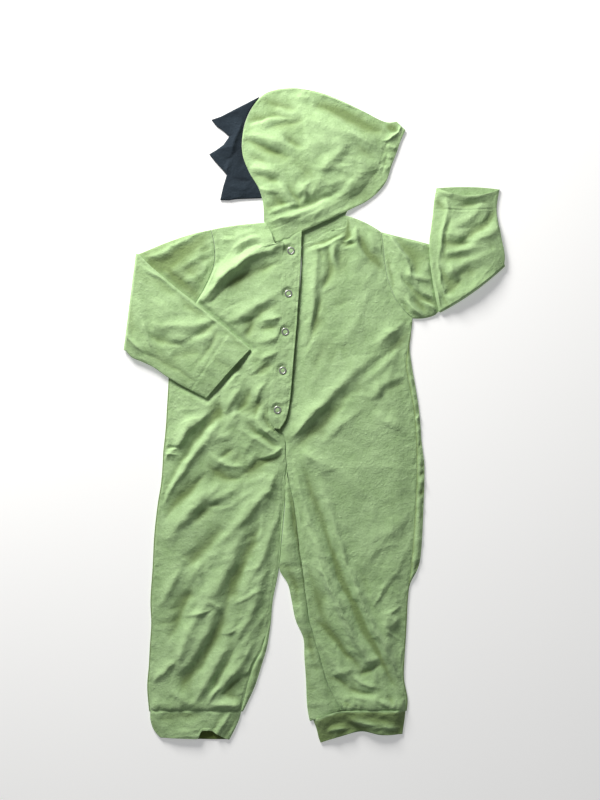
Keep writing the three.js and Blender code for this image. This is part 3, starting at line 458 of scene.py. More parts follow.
# Creases: from (x1, y1) to (x2, y2), bent sideways by bow, half as wide as half either side, rise
# high in millimetres (below zero is a trough), and steeper on one side where lean isn't zero.
RIGHT_FRONT_CREASES = Table.read("""
x1  y1  x2  y2  bow half rise lean
300 238 214 286 -6  8   4.6  0.45
250 258 178 322 -2  9   3.4  0.4
268 242 194 300 2   8   2.4  0
286 260 206 304 -5  5   -3.0 0
258 233 218 241 1   5   2.6  0.2
231 250 261 238 1   4.5 2.4  0
221 232 258 234 -5  4   -2.2 0
236 257 263 244 1   4   -2.4 0
216 262 206 284 2   4   1.8  0
280 291 226 324 2   7   3.0  0.3
278 302 240 326 1   5   -2.2 0
256 318 247 340 0   5   -2.6 0
281 316 262 322 0   3.5 2.4  0
281 325 260 330 0   3.5 -2.2 0
281 333 258 342 2   5   2.6  0.2
280 352 256 358 2   5   2.4  0.2
276 366 254 374 -2  5   -2.2 0
242 384 224 413 0   6   3.6  0.3
252 384 236 414 1   5   -2.6 0
268 384 256 402 -3  4   2.4  0.2
262 396 256 420 -4  3.5 -2.4 0
256 414 282 440 -6  4   2.8  0
262 412 280 432 -4  3   -2.2 0
246 418 282 446 -6  5   -2.8 0
240 424 276 450 -4  4.5 2.6  0
230 400 160 507 -6  6.5 -4.6 0
212 408 164 462 -2  6   4.2  0.3
224 416 163 508 -4  7   5.4  0.35
163 450 180 446 0   3   -2.6 0
163 456 178 456 0   3   1.8  0
210 472 163 520 -1  6   -3.8 0
222 480 164 544 -2  8.5 3.8  0.3
236 446 214 462 1   5   -2.4 0
284 446 256 459 1   4.5 3.4  0.2
284 454 238 479 -3  5   -3.8 0
246 478 206 462 8   5   -3.2 0
244 466 208 452 6   5   3.0  0
284 461 212 550 5   8.5 4.4  0.3
238 490 206 506 -3  6   2.4  0.1
230 498 186 524 -2  6   -2.6 0
262 518 221 612 0   7.5 -4.2 0
280 500 240 600 4   8   3.2  0.2
246 524 206 614 1   9.5 4.2  0.35
236 514 178 576 0   8   -2.6 0
228 600 193 676 4   6.5 -3.8 0
268 560 238 640 3   9   3.4  0.3
222 600 176 676 4   8   3.6  0.3
232 638 190 708 0   7   3.8  0.3
240 640 204 704 0   4.5 -2.8 0
256 638 213 702 0   7   3.8  0.3
252 668 220 695 1   4.5 -3.4 0
262 648 232 690 1   5   2.6  0.2
186 560 158 608 1   7   3.2  0.2
196 578 166 644 1   6   -2.8 0
214 584 170 668 2   8   3.6  0.25
206 640 176 700 1   6   -2.2 0
176 656 150 686 0   6   3.4  0.25
168 690 196 704 0   7   2.4  0
224 682 206 706 -2  3.5 3.2  0.2
208 705 246 708 3   3.5 3.0  0
222 692 242 700 0   4   -2.4 0
176 330 168 396 0   6   1.6  0
232 604 268 588 1   1.6 1.8  0
206 598 222 612 0   1.6 1.8  0
188 616 216 606 -1  1.6 1.6  0
196 560 204 586 0   1.6 1.6  0
176 552 192 566 0   1.6 1.6  0
214 560 204 574 0   1.6 1.4  0
240 572 262 564 0   1.5 1.4  0
182 620 194 640 0   1.6 1.6  0
222 634 242 626 0   1.5 1.6  0
""")
LEFT_FRONT_CREASES = Table.read("""
x1  y1  x2  y2  bow half rise lean
386 340 322 404 1   9   3.0  0.25
352 372 288 440 0   8   4.0  0.3
396 338 318 418 4   8   -1.8 0
350 394 290 452 2   7   -3.4 0
410 374 366 402 -4  7   2.4  0.3
384 396 320 448 -6  7   2.8  0.2
412 378 372 402 -1  5   -1.4 0
388 392 340 418 1   6   -1.8 0
376 382 380 396 0   3   2.0  0
334 396 287 442 -1  5.5 3.8  0.3
324 240 320 294 8   5   -4.0 0
321 290 305 349 3   5   -4.4 0
314 241 307 352 4   6   4.4  0.35
336 238 334 270 1   5   3.4  0.3
350 230 343 248 0   4   -5.4 0
355 226 366 262 -1  5   3.6  0.2
359 229 387 273 -5  5   -4.4 0
370 232 386 258 -2  6   2.6  0
372 290 338 352 3   10  2.4  0.1
404 320 374 350 0   6   3.0  0.2
410 328 386 358 0   5   -2.8 0
400 346 356 386 3   8   2.6  0.2
292 452 326 560 -3  4   3.6  0
300 458 332 548 0   5   -3.6 0
303 520 352 604 -1  4.4 4.4  0
318 464 346 560 -2  6   3.4  0
321 520 400 692 -6  3.8 -9.0 0
305 520 386 690 -6  4.0 7.0  0
331 516 408 690 -6  3.6 7.8 0
317 556 370 668 0   5   5.2  0
312 612 362 672 0   4.4 -6.0 0
312 632 344 676 0   5   2.6  0
326 677 348 689 4   3   -3.4 0
346 685 378 692 -3  3.2 -3.8 0
330 676 356 668 1   4.4 2.6  0
350 672 380 686 -3  4   4.0  0
336 696 388 701 3   5   2.8  0
356 674 382 665 1   3.4 -3.4 0
342 698 350 707 0   2   -2.4 0
352 697 356 707 0   2   2.2  0
378 696 386 706 0   2.4 2.6  0
386 692 392 704 0   2.4 -2.4 0
360 660 384 658 1   5   2.4  0
414 506 355 571 -1  11  2.4  0.3
412 526 366 587 0   6   -0.9 0
412 542 377 599 -1  10  2.2  0.3
404 566 376 606 1   5   -0.9 0
400 588 378 640 2   7   1.6  0
386 636 402 612 0   6   2.2  0
306 560 330 640 0   5   -2.4 0
300 450 330 480 3   6   3.2  0
296 452 372 500 6   8   2.4  0
340 470 404 470 3   12  1.6  0
372 410 404 432 0   7   2.4  0
296 500 310 560 0   4   2.4  0
366 588 380 612 0   1.6 1.6  0
384 584 372 606 0   1.6 1.8  0
388 606 398 626 0   1.6 1.6  0
380 616 402 604 0   1.5 1.8  0
384 628 402 642 0   1.6 1.6  0
364 640 380 632 0   1.6 1.4  0
340 520 352 532 0   1.6 1.4  0
360 514 368 530 0   1.6 1.2  0
301 250 346 230 -2  1.7 -3.2 0
346 216 347 242 0   1.8 -4.2 0
342 244 352 239 0   2.2 3.4  0
344 249 358 243 1   2.4 -3.6 0
357 230 374 264 -3  4   -4.0 0
304 254 348 233 -2  2.4 2.2  0
318 246 322 262 0   2.4 -2.0 0
330 240 336 258 0   2.6 2.0  0
""")
HOOD_CREASES = Table.read("""
x1  y1  x2  y2  bow half rise lean
242 121 292 119 1   5   -4.0 0
243 129 296 120 2   6   3.2  0.3
262 134 306 122 2   7   -3.6 0
258 100 300 112 0   6   -3.2 0
238 140 292 162 3   5.5 -4.8 0
240 134 298 152 2   7   3.8  0.2
278 138 308 150 0   5   -3.2 0
246 157 270 164 0   4   -2.4 0
247 170 284 178 3   6   3.4  0.2
250 178 282 187 5   5   -3.2 0
256 190 280 196 2   4   2.4  0
306 99  392 136 -1  9   -6.0 0
296 90  392 122 4   7   3.0  0
300 116 374 146 -2  12  3.4  0
262 226 340 192 -4  5   3.4  0.3
276 216 352 184 -3  6   -4.0 0
374 156 292 226 9   10  3.6  0
386 160 334 212 5   8   -1.8 0
277 182 294 214 2   4.2 3.4  0
286 184 300 206 1   3.6 -3.0 0
296 183 306 202 4   3.8 3.0  0
313 180 299 207 -4  3.8 3.0  0
304 190 298 204 0   3   -3.0 0
270 188 288 216 0   4   -2.4 0
264 206 292 206 0   4   -2.2 0
266 214 300 206 0   4   2.6  0
386 146 398 152 0   3   2.6  0
384 156 396 161 0   3   2.2  0
380 168 392 172 0   3   1.8  0
388 150 380 178 2   3   -1.8 0
382 127 400 134 0   5   -5.6 0
380 143 402 124 -5  3   4.6  0
378 124 392 140 1   3   2.6  0
296 150 352 150 3   14  3.0  0
312 162 342 146 2   7   -2.2 0
318 174 348 150 2   8   2.6  0
294 166 322 180 -2  7   -2.2 0
354 138 374 162 -2  7   -2.2 0
""")
UPPER_ARM_CREASES = Table.read("""
x1  y1  x2  y2  bow half rise lean
138 272 214 230 -5  7   -6.0 0
134 262 216 222 -5  5   2.6  0.2
140 250 208 306 0   5   -3.2 0
150 280 206 252 -3  5   2.2  0
168 272 206 262 0   6   -1.8 0
180 286 208 268 0   4   2.2  0.2
184 264 206 288 0   4   -2.2 0
200 252 210 246 0   2.4 -2.0 0
200 262 212 256 0   2.2 -1.8 0
202 270 210 263 0   2.2 1.8  0
150 258 232 328 2   5   -2.6 0
379 228 413 283 5   3   5.4  0.3
386 228 420 282 6   5   -3.6 0
398 262 432 300 -2  4   3.0  0.2
400 276 438 308 -3  5   -5.0 0
404 276 434 281 0   3   3.8  0
408 288 434 298 0   4   2.8  0
388 262 410 306 3   4   2.6  0
380 244 394 300 3   3   -2.4 0
405 301 424 318 0   2.4 4.4  0
412 298 426 314 0   2.4 -4.0 0
418 300 436 316 2   3   3.4  0
400 300 412 316 0   2.2 -2.6 0
388 238 430 246 0   5   1.8  0
396 246 432 262 0   6   -1.8 0
""")
FOREARM_CREASES = Table.read("""
x1  y1  x2  y2  bow half rise lean
146 274 184 300 -1  4   -3.4 0
140 262 190 302 -2  5   2.4  0
178 298 216 322 0   4   -3.6 0
186 296 228 330 0   4   2.8  0
150 334 190 342 -5  3.5 -4.4 0
182 343 222 322 0   4   -4.0 0
150 326 218 318 -4  7   3.6  0.2
158 348 216 336 3   7   3.0  0
170 360 204 352 2   6   -1.8 0
142 318 155 352 0   2.2 3.0  0
122 330 144 354 0   2.2 3.0  0
134 296 150 334 0   7   2.0  0
128 290 134 344 0   6   -2.0 0
150 300 176 322 2   7   2.4  0
194 350 214 376 0   6   1.8  0
222 326 192 370 1   3   -1.8 0
140 352 200 384 1   3   -2.2 0
499 207 458 244 2   5   -5.6 0.2
484 199 446 234 3   7   2.6  0.2
506 220 466 248 1   7   3.0  0.2
438 245 476 245 2   3.2 -4.2 0
440 236 470 236 1   5   1.8  0
440 253 486 249 1   5   3.2  0
438 258 476 258 0   5   -2.8 0
442 286 486 264 2   6   -2.4 0
438 276 500 250 1   7   2.8  0.2
444 296 460 278 0   4   -4.8 0
438 268 454 288 0   3.4 -4.4 0
446 262 458 282 0   3   3.4  0
446 300 496 276 0   7   2.4  0
449 206 436 264 -1  1.8 2.8  0
436 256 450 308 -2  1.8 2.8  0
453 210 442 262 -1  2.2 -2.2 0
432 276 440 310 0   3   3.2  0
440 288 450 310 0   2.5 -3.2 0
432 196 448 214 0   3   -3.4 0
436 192 452 200 0   3   2.4  0
446 200 450 214 0   2.4 2.6  0
454 208 490 204 1   3   -2.0 0
460 200 486 197 1   4   1.8  0
""")


def ease(t: Array | float) -> Array:
    """Runs smoothly from 0 to 1 as t does, and stays there outside."""
    t = np.clip(t, 0, 1)
    return t * t * (3 - 2 * t)


def mix(a: Array | float, b: Array | float, t: Array | float) -> Array:
    """The value that lies t of the way from a to b."""
    return a + (b - a) * t


def place(x: Array, y: Array, z: Array) -> Array:
    """Puts chart places and heights into the frame.

    Args:
        x: Squares across the chart.
        y: Squares down the chart.
        z: Millimetres above the surface.

    Returns:
        Points in metres, with the last axis x, y, z.
    """
    x, y, z = np.broadcast_arrays(x, y, z)
    return 0.001 * np.stack([(x - CHART_MIDDLE[0]) * SQUARE, (CHART_MIDDLE[1] - y) * SQUARE, z], axis=-1)


def crease_height(creases: list[Table], x: Array, y: Array) -> Array:
    """Height of all creases in some tables: a bell across each bowed line, which runs out at its ends.

    The bell is exp(-1.7 (sqrt(d d + 0.12) - 0.35)), where d is the distance from the line in halves, so its
    crest is narrow and its foot wide. The lean shrinks the half on one side, and both ends taper. The lines
    wander a little, because the places are first moved by soft noise.

    Args:
        creases: The tables.
        x: Squares across the chart.
        y: Squares down the chart.

    Returns:
        The height in millimetres at each place.
    """
    sharpness, crest, offset = 1.7, 0.12, 0.35
    x, y = np.broadcast_arrays(x, y)
    x, y = [v + 1.9 * soft_noise(x, y, 17, k) + 0.8 * soft_noise(x, y, 7, k + 2) for v, k in ((x, 301), (y, 302))]
    height = np.zeros(np.shape(x))
    for c in (row for table in creases for row in table.rows()):
        dx, dy = c["x2"] - c["x1"], c["y2"] - c["y1"]
        length = math.hypot(dx, dy)
        t = ((x - c["x1"]) * dx + (y - c["y1"]) * dy) / length**2
        across = ((x - c["x1"]) * dy - (y - c["y1"]) * dx) / length - c["bow"] * 4 * t * (1 - t)
        taper = np.clip(1 - np.abs(2 * t - 1) ** 2.4, 0, 1)
        half = c["half"] * (1 - c["lean"] * np.tanh(across / c["half"] * 2)) * (0.45 + 0.55 * taper)
        bell = np.exp(-sharpness * (np.sqrt((across / half) ** 2 + crest) - offset))
        height += c["rise"] * bell * taper**1.3
    return height


def scattered(seed: int, count: int, box: tuple[float, ...], turn: float, spread: float, rise: float) -> Table:
    """Small random creases between the main ones, mostly one way round.

    Args:
        seed: Which ones.
        count: How many.
        box: Left, top, right and bottom of the part of the chart they start in.
        turn: Their direction, in degrees clockwise from the chart's rows.
        spread: How far the direction varies either way.
        rise: The highest of them, in millimetres.

    Returns:
        A table of creases.
    """
    widest = 6.0
    pick = np.random.default_rng(seed)
    x, y = pick.uniform(box[0], box[2], count), pick.uniform(box[1], box[3], count)
    angle = np.radians(turn + spread * pick.normal(0, 0.6, count))
    length = pick.uniform(12, 46, count)
    half = pick.uniform(2.0, widest, count)
    lift = pick.uniform(0.35, 1, count) * rise * np.sign(pick.uniform(-0.9, 1, count)) * np.sqrt(half / widest)
    ends = {"x1": x, "y1": y, "x2": x + length * np.cos(angle), "y2": y + length * np.sin(angle)}
    bow, lean = pick.normal(0, 2, count), pick.uniform(-0.1, 0.35, count)
    return Table({**ends, "bow": bow, "half": half, "rise": lift, "lean": lean})


def soft_noise(x: Array, y: Array, size: float, seed: int) -> Array:
    """Value noise from -1 to 1: seeded random numbers on a turned square lattice, eased between its corners.

    Args:
        x: Places across.
        y: Places along.
        size: The lattice's spacing.
        seed: Which lattice.

    Returns:
        The noise at each place.
    """
    cells = 128
    lattice = np.random.default_rng(seed).uniform(-1, 1, (cells, cells))
    turn = 2.4 * seed
    px = (np.cos(turn) * x + np.sin(turn) * y) / size
    py = (np.cos(turn) * y - np.sin(turn) * x) / size
    i, j = np.floor(px).astype(int), np.floor(py).astype(int)
    u, v = ease(px - i), ease(py - j)
    near, far = (mix(*(lattice[(i + a) % cells, (j + b) % cells] for a in (0, 1)), u) for b in (0, 1))
    return mix(near, far, v)


def crumple(x: Array, y: Array, seed: int) -> Array:
    """Small soft wrinkles of washed jersey: warped value noise at three sizes, drawn out on a slant.

    Args:
        x: Squares across the chart.
        y: Squares down the chart.
        seed: Which wrinkles.

    Returns:
        The height in millimetres, about -1 to 1.
    """
    wx = x + 5 * soft_noise(x, y, 21, seed)
    wy = y + 5 * soft_noise(x, y, 23, seed + 1)
    along, across = wx * 0.62 - wy * 0.78, wx * 0.78 + wy * 0.62
    broad = soft_noise(along, across * 0.5, 15, seed + 2)
    middle = soft_noise(along, across * 0.55, 7.5, seed + 3)
    line = np.abs(soft_noise(along, across * 0.7, 13, seed + 4) + 0.35 * soft_noise(wx, wy, 6, seed + 6))
    ridge = np.exp(-((line / 0.09) ** 2)) * ease(soft_noise(x, y, 26, seed + 5) * 2 + 0.5)
    fine = soft_noise(0.86 * wx + 0.5 * wy, 0.86 * wy - 0.5 * wx, 4.4, seed + 7)
    return 0.55 * broad + 0.42 * middle + 0.16 * ridge + 0.16 * fine


def floor_at(lift: Array, least: float) -> Array:
    """Keeps a height softly above the least one.

    The result is least + ln(1 + exp(k (lift - least))) / k, which bends over about a millimetre.
    """
    k = 2.2
    return least + np.logaddexp(0, k * (lift - least)) / k


STRIP_CREASES = Table.read("""
x1  y1  x2  y2  bow half rise lean
287 480 305 600 2   3.4 -3.6 0
282 500 290 562 -1  4   3.0  0
282 528 302 566 0   4   2.4  0
286 560 304 620 0   4   -2.4 0
296 590 312 640 0   4   2.6  0
306 610 318 690 0   5   -2.0 0
306 650 330 716 1   5   3.0  0
312 690 336 722 0   4   2.4  0
426 438 416 448 0   2.2 -2.8 0
427 461 417 468 0   2.0 -2.6 0
427 472 418 476 0   2.0 -2.8 0
427 489 417 497 0   2.4 -3.2 0
427 502 418 506 0   2.0 -2.6 0
426 514 417 520 0   2.2 -3.0 0
426 481 419 484 0   2.4 2.2  0
426 508 419 511 0   2.0 2.0  0
423 560 412 572 0   2.4 -2.6 0
420 576 412 584 0   2.2 2.2  0
418 380 412 390 0   2.2 -2.0 0
421 412 414 420 0   2.2 2.0  0
""")
BAND_CREASES = Table.read("""
x1  y1  x2  y2  bow half rise lean
150 716 160 738 1   3   -1.6 0
158 720 204 716 3   6   -3.4 0
172 732 212 728 1   5   2.4  0
204 742 226 706 0   2.4 -1.8 0
210 742 234 704 0   3.4 2.6  0
222 742 240 714 0   2   -1.6 0
230 738 244 716 0   2.4 2.0  0
312 738 356 712 5   5   -5.0 0
344 712 370 734 -3  4.5 -5.0 0
326 732 350 726 3   4   2.6  0
340 712 384 722 -4  5   4.2  0
364 728 404 728 2   6   3.0  0
392 712 404 738 0   5   -2.2 0
""")
SPIKE_CREASES = Table.read("""
x1  y1  x2  y2  bow half rise lean
246 114 229 162 -2  4   3.0  0.3
230 160 227 175 0   3   2.4  0
238 112 244 136 3   5   -1.8 0
238 140 240 172 2   4   -2.0 0
228 186 250 190 -2  5   1.6  0
232 178 252 182 -2  3   -1.8 0
216 118 240 112 0   4   1.4  0
214 152 234 148 0   4   1.6  0
224 166 238 150 0   4   -1.4 0
""")
# Each list is a set of placed creases, and small scattered ones: seed, count, box, turn, spread and rise.
RIGHT_FRONT_FOLDS = [
    RIGHT_FRONT_CREASES,
    scattered(1, 46, (214, 236, 276, 400), 150, 40, 1.5),
    scattered(2, 60, (190, 400, 286, 560), 135, 40, 1.6),
    scattered(3, 70, (180, 540, 276, 690), 118, 45, 1.5),
]
LEFT_FRONT_FOLDS = [
    LEFT_FRONT_CREASES,
    scattered(4, 60, (310, 236, 400, 420), 122, 45, 1.3),
    scattered(5, 46, (300, 430, 412, 600), 100, 60, 1.3),
    scattered(6, 60, (310, 560, 404, 690), 66, 50, 1.6),
]
HOOD_FOLDS = [
    HOOD_CREASES,
    scattered(7, 60, (246, 96, 380, 210), 20, 70, 1.4),
    scattered(8, 26, (290, 150, 390, 220), 140, 25, 1.3),
]
BAND_FOLDS = [
    BAND_CREASES,
    scattered(12, 16, (152, 708, 236, 738), 30, 90, 1.2),
    scattered(13, 16, (316, 708, 402, 738), 150, 90, 1.6),
]
RIGHT_SLEEVE_SCATTER = scattered(9, 60, (128, 240, 230, 380), 30, 50, 1.1)
LEFT_SLEEVE_SCATTER = scattered(10, 60, (385, 200, 500, 310), 130, 60, 1.3)


def fade(reach: float, *distances: Array) -> Array:
    """Rises from 0 at every edge to 1 where all the distances from the edges are past the reach."""
    return math.prod(ease(distance / reach) for distance in distances)


def stitched_groove(away: Array) -> Array:
    """The groove that a hem's stitches press, at a distance in millimetres from their line."""
    depth, half = STITCHED_LINE
    return depth * np.exp(-((away / half) ** 2))


def run_along(line: Array) -> Array:
    """How far along a line of chart places each of them is, in millimetres."""
    return np.concatenate([[0], np.cumsum(np.linalg.norm(np.diff(line, axis=0), axis=-1) * SQUARE)])


def spaced(count: int, tight: float = 0.8) -> Array:
    """Fractions from 0 to 1, closer together at both ends: u - tight sin(2 pi u) / 2 pi."""
    u = np.linspace(0, 1, count)
    return u - tight * np.sin(2 * np.pi * u) / (2 * np.pi)


def quads(grid: Array, loop: bool = False) -> Array:
    """The four corners of each cell of a grid of vertex numbers.

    Args:
        grid: Vertex numbers in rows and columns.
        loop: Whether the last column joins the first.

    Returns:
        One row of four numbers for each cell.
    """
    right = np.roll(grid, -1, axis=1) if loop else grid[:, 1:]
    left = grid if loop else grid[:, :-1]
    return np.stack([left[:-1], right[:-1], right[1:], left[1:]], axis=-1).reshape(-1, 4)


def rim(grid: Array) -> Array:
    """The vertex numbers round the edge of a grid, once."""
    return np.concatenate([grid[0], grid[1:, -1], grid[-1, -2::-1], grid[-2:0:-1, 0]])


def make_piece(name: str, points: Array, faces: Array, uv: Array, painted_shading: Array, material: Material) -> Piece:
    """Puts arrays into a smooth mesh whose faces point outwards.

    Args:
        name: The piece's name.
        points: Vertices in metres.
        faces: Quads as vertex numbers.
        uv: A place on the cloth for each vertex, in metres.
        painted_shading: From -1 in a trough to 1 on a ridge, for each vertex; it paints shade into the troughs and a
            highlight onto the ridges.
        material: What it is made of.

    Returns:
        The object, linked to the scene.
    """
    a, b, c, d = (points[faces[:, k]] for k in range(4))
    volume = (a * (np.cross(b, c) + np.cross(c, d))).sum()
    faces = faces[:, ::-1] if volume < 0 else faces
    mesh = bpy.data.meshes.new(name)
    mesh.vertices.add(len(points))
    mesh.vertices.foreach_set("co", points.astype(np.float32).ravel())
    mesh.loops.add(faces.size)
    mesh.loops.foreach_set("vertex_index", faces.astype(np.int32).ravel())
    mesh.polygons.add(len(faces))
    mesh.polygons.foreach_set("loop_start", np.arange(0, faces.size, 4, dtype=np.int32))
    mesh.polygons.foreach_set("use_smooth", np.ones(len(faces), bool))
    mesh.update(calc_edges=True)
    layer = mesh.uv_layers.new(name="cloth")
    layer.data.foreach_set("uv", uv[faces.ravel()].astype(np.float32).ravel())
    # Painted shading goes to the material as a point attribute: painted shade below zero, painted highlight above.
    mesh.attributes.new("painted_shading", "FLOAT", "POINT").data.foreach_set("value", painted_shading.astype(np.float32))
    mesh.validate()
    mesh.materials.append(material)
    piece = bpy.data.objects.new(name, mesh)
    bpy.context.scene.collection.objects.link(piece)
    return piece


def edge_distance(points: Array) -> Array:
    """How far each point of a grid lies from the grid's edge, measured along its rows and columns.

    Args:
        points: Points in rows and columns.

    Returns:
        The distance of each point, in the points' own units.
    """
    nearest = []
    for axis in (0, 1):
        step = np.linalg.norm(np.diff(points, axis=axis), axis=-1)
        run = np.concatenate([np.zeros_like(np.take(step, [0], axis)), np.cumsum(step, axis)], axis)
        nearest.append(np.minimum(run, np.take(run, [-1], axis) - run))
    return np.minimum(*nearest)


def sheet_piece(
    name: str,
    middle: Array,
    wall: float,
    painted_shading: Array,
    material: Material,
    uv: Array | None = None,
    normals: Array | None = None,
) -> Piece:
    """A layer of cloth with rounded edges: a grid of middle points moved out both ways by half the wall.

    At the rim the wall is half its full size, and it swells as a circle does over one wall's width.

    Args:
        name: The piece's name.
        middle: Middle points in rows and columns, in metres.
        wall: The cloth's thickness in millimetres.
        painted_shading: From -1 (painted shade) to 1 (painted highlight) for each point.
        material: What it is made of.
        uv: Places on the cloth in metres; the plan's own if left out.
        normals: Which way the upper side faces; straight up if left out.

    Returns:
        The object.
    """
    rows, columns = middle.shape[:2]
    far = np.clip(edge_distance(middle) / (0.001 * wall), 0, 1)
    half = 0.0005 * wall * (0.5 + 0.5 * np.sqrt(1 - (1 - far) ** 2))
    out = np.array([0.0, 0.0, 1.0]) if normals is None else normals
    upper, lower = middle + half[..., None] * out, middle - half[..., None] * out
    numbers = np.arange(rows * columns).reshape(rows, columns)
    below = numbers + rows * columns
    edges = np.stack([rim(numbers), rim(below)])
    faces = np.concatenate([quads(numbers), quads(below[:, ::-1]), quads(edges[::-1], loop=True)])
    return two_skins(name, upper, lower, faces, middle[..., :2] if uv is None else uv, painted_shading, material)


def two_skins(
    name: str, one: Array, other: Array, faces: Array, uv: Array, painted_shading: Array, material: Material
) -> Piece:
    """Makes a piece of two grids of points that share their places on the cloth and their painted shading.

    Args:
        name: The piece's name.
        one: The first grid of points, in metres.
        other: The second grid, of the same size.
        faces: Quads as vertex numbers, with the second grid's after the first's.
        uv: A place on the cloth for each point of a grid.
        painted_shading: From -1 (painted shade) to 1 (painted highlight) for each point of a grid.
        material: What it is made of.

    Returns:
        The object.
    """
    points = np.concatenate([one.reshape(-1, 3), other.reshape(-1, 3)])
    return make_piece(name, points, faces, np.tile(uv.reshape(-1, 2), (2, 1)), np.tile(painted_shading.ravel(), 2), material)


def tube_piece(name: str, outer: Array, inner: Array, uv: Array, painted_shading: Array, material: Material) -> Piece:
    """A tube of cloth with open ends, from rings of outer and of inner points.

    Args:
        name: The piece's name.
        outer: Outer points, a ring for each station, in metres.
        inner: Inner points, the same way.
        uv: A place on the cloth for each outer point.
        painted_shading: From -1 (painted shade) to 1 (painted highlight) for each outer point.
        material: What it is made of.

    Returns:
        The object.
    """
    rows, around = outer.shape[:2]
    numbers = np.arange(rows * around).reshape(rows, around)
    within = numbers + rows * around
    ends = [np.stack([within[0], numbers[0]]), np.stack([numbers[-1], within[-1]])]
    faces = np.concatenate([quads(skin, True) for skin in (numbers, within[::-1], *ends)])
    return two_skins(name, outer, inner, faces, uv, painted_shading, material)


def declare(
    piece: Piece,
    slot: Slot,
    nodes: tuple[str, ...] = (),
    flat: tuple[float, float] | None = None,
    area: float | None = None,
    rests_on: tuple[str, ...] = ("floor",),
) -> Piece:
    """Makes a piece ride on the garment and says what it stands for.

    Args:
        piece: The piece.
        slot: The finish it takes.
        nodes: The solids that it replaces.
        flat: For a layer of cloth, the width and length it was cut to, in metres.
        area: The cut's area where it isn't a rectangle, in square metres.
        rests_on: What the cloth lies on.

    Returns:
        The same piece.
    """
    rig.ride(piece, "root")
    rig.slot(piece, slot.value)
    if nodes:
        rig.replaces(piece, *nodes)
    if flat:
        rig.sheet(piece, flat=flat, held="laid", rests_on=list(rests_on), area=area)
    LOG.info("%s: %d faces", piece.name, len(piece.data.polygons))
    return piece


@dataclass
class Nodes:
    """A small helper that adds and links shader nodes in a tree."""

    tree: bpy.types.NodeTree

    def add(self, kind: str, values: dict[str, object] | None = None, **properties: object) -> bpy.types.Node:
        """Adds a node.

        Args:
            kind: The node's type.
            values: Input names or numbers, with a value or a socket for each.
            properties: The node's own settings.

        Returns:
            The node.
        """
        node = self.tree.nodes.new(kind)
        for key, value in properties.items():
            setattr(node, key, value)
        for key, value in (values or {}).items():
            self.set(node.inputs[key], value)
        return node

    def set(self, socket: Socket, value: object) -> None:
        """Links an input to a socket, or gives it a value of its own."""
        if isinstance(value, Socket):
            self.tree.links.new(value, socket)
        else:
            socket.default_value = value

    def math(self, operation: str, a: object, b: object = 0.0, c: object = 0.0) -> Socket:
        """Adds a Math node and gives its output."""
        return self.add("ShaderNodeMath", {0: a, 1: b, 2: c}, operation=operation).outputs[0]

    def scaled(self, a: object, factor: object, more: object) -> Socket:
        """Adds a Math node that gives a times factor, plus more."""
        return self.math("MULTIPLY_ADD", a, factor, more)

    def noise(self, place: Socket, scale: float, detail: float, roughness: float = 0.5) -> Socket:
        """Adds a Noise Texture and gives its factor."""
        values = {"Vector": place, "Scale": scale, "Detail": detail, "Roughness": roughness}
        return self.add("ShaderNodeTexNoise", values).outputs["Fac"]

    def blend(self, factor: object, a: object, b: object) -> Socket:
        """Adds a colour Mix node, whose colour inputs are numbers 6 and 7, and gives its output."""
        return self.add("ShaderNodeMix", {0: factor, 6: a, 7: b}, data_type="RGBA").outputs[2]


def knit_group() -> bpy.types.NodeTree:
    """Builds the group that all jersey uses.

    Its inputs are a place on the surface, a place on the cloth and the size of a knit stitch. Tone is the
    heather and mottling of the yarn, from 0 to 1, and Height is the relief of wales, courses, nap and
    pilling, from 0 to about 1.

    Returns:
        The node group.
    """
    group = bpy.data.node_groups.new("knit", "ShaderNodeTree")
    for name, kind in (("Place", "NodeSocketVector"), ("Cloth", "NodeSocketVector"), ("Stitch", "NodeSocketFloat")):
        group.interface.new_socket(name=name, in_out="INPUT", socket_type=kind)
    for name in ("Tone", "Height"):
        group.interface.new_socket(name=name, in_out="OUTPUT", socket_type="NodeSocketFloat")
    n = Nodes(group)
    given = n.add("NodeGroupInput").outputs
    place_at = given["Place"]
    cloud, mottle = n.noise(place_at, 16, 3, 0.6), n.noise(place_at, 95, 4, 0.65)
    heather, nap = n.noise(place_at, 620, 2, 0.6), n.noise(place_at, 330, 3, 0.7)
    pills = n.add("ShaderNodeTexVoronoi", {"Vector": place_at, "Scale": 210.0, "Randomness": 1.0}).outputs["Distance"]
    pill = n.math("SMOOTH_MIN", n.math("SUBTRACT", 1.0, n.math("MULTIPLY", pills, 2.6)), 1.0, 0.2)
    pill = n.math("MULTIPLY", n.math("MAXIMUM", pill, 0.0), n.math("GREATER_THAN", mottle, 0.56))
    split = n.add("ShaderNodeSeparateXYZ", {0: given["Cloth"]}).outputs
    waves = []
    for axis, share in (("X", 1.0), ("Y", 1.4)):
        angle = n.math("MULTIPLY", n.math("DIVIDE", split[axis], given["Stitch"]), 2 * math.pi * share)
        waves.append(n.scaled(n.math("SINE", angle), 0.5, 0.5))
    tone = n.scaled(cloud, 0.42, n.math("MULTIPLY", mottle, 0.5))
    tone = n.scaled(n.math("ADD", heather, nap), 0.34, n.math("SUBTRACT", tone, 0.3))
    tone = n.scaled(n.math("SUBTRACT", tone, 0.5), 1.9, 0.5)
    tone = n.scaled(pill, 0.2, tone)
    height = n.scaled(nap, 0.9, n.math("MULTIPLY", mottle, 1.5))
    height = n.scaled(n.math("MULTIPLY", *waves), 0.08, height)
    height = n.scaled(pill, 0.35, height)
    n.add("NodeGroupOutput", {"Tone": tone, "Height": height})
    return group


@dataclass(frozen=True)
class Finish:
    """A finish, which starts from a material with one Principled shader."""

    name: str

    def start(self) -> tuple[Material, Nodes, bpy.types.NodeInputs]:
        """Makes the material.

        Returns:
            The material, the helper for its nodes and its shader's inputs.
        """
        material = bpy.data.materials.new(self.name)
        material.use_nodes = True
        return material, Nodes(material.node_tree), material.node_tree.nodes["Principled BSDF"].inputs


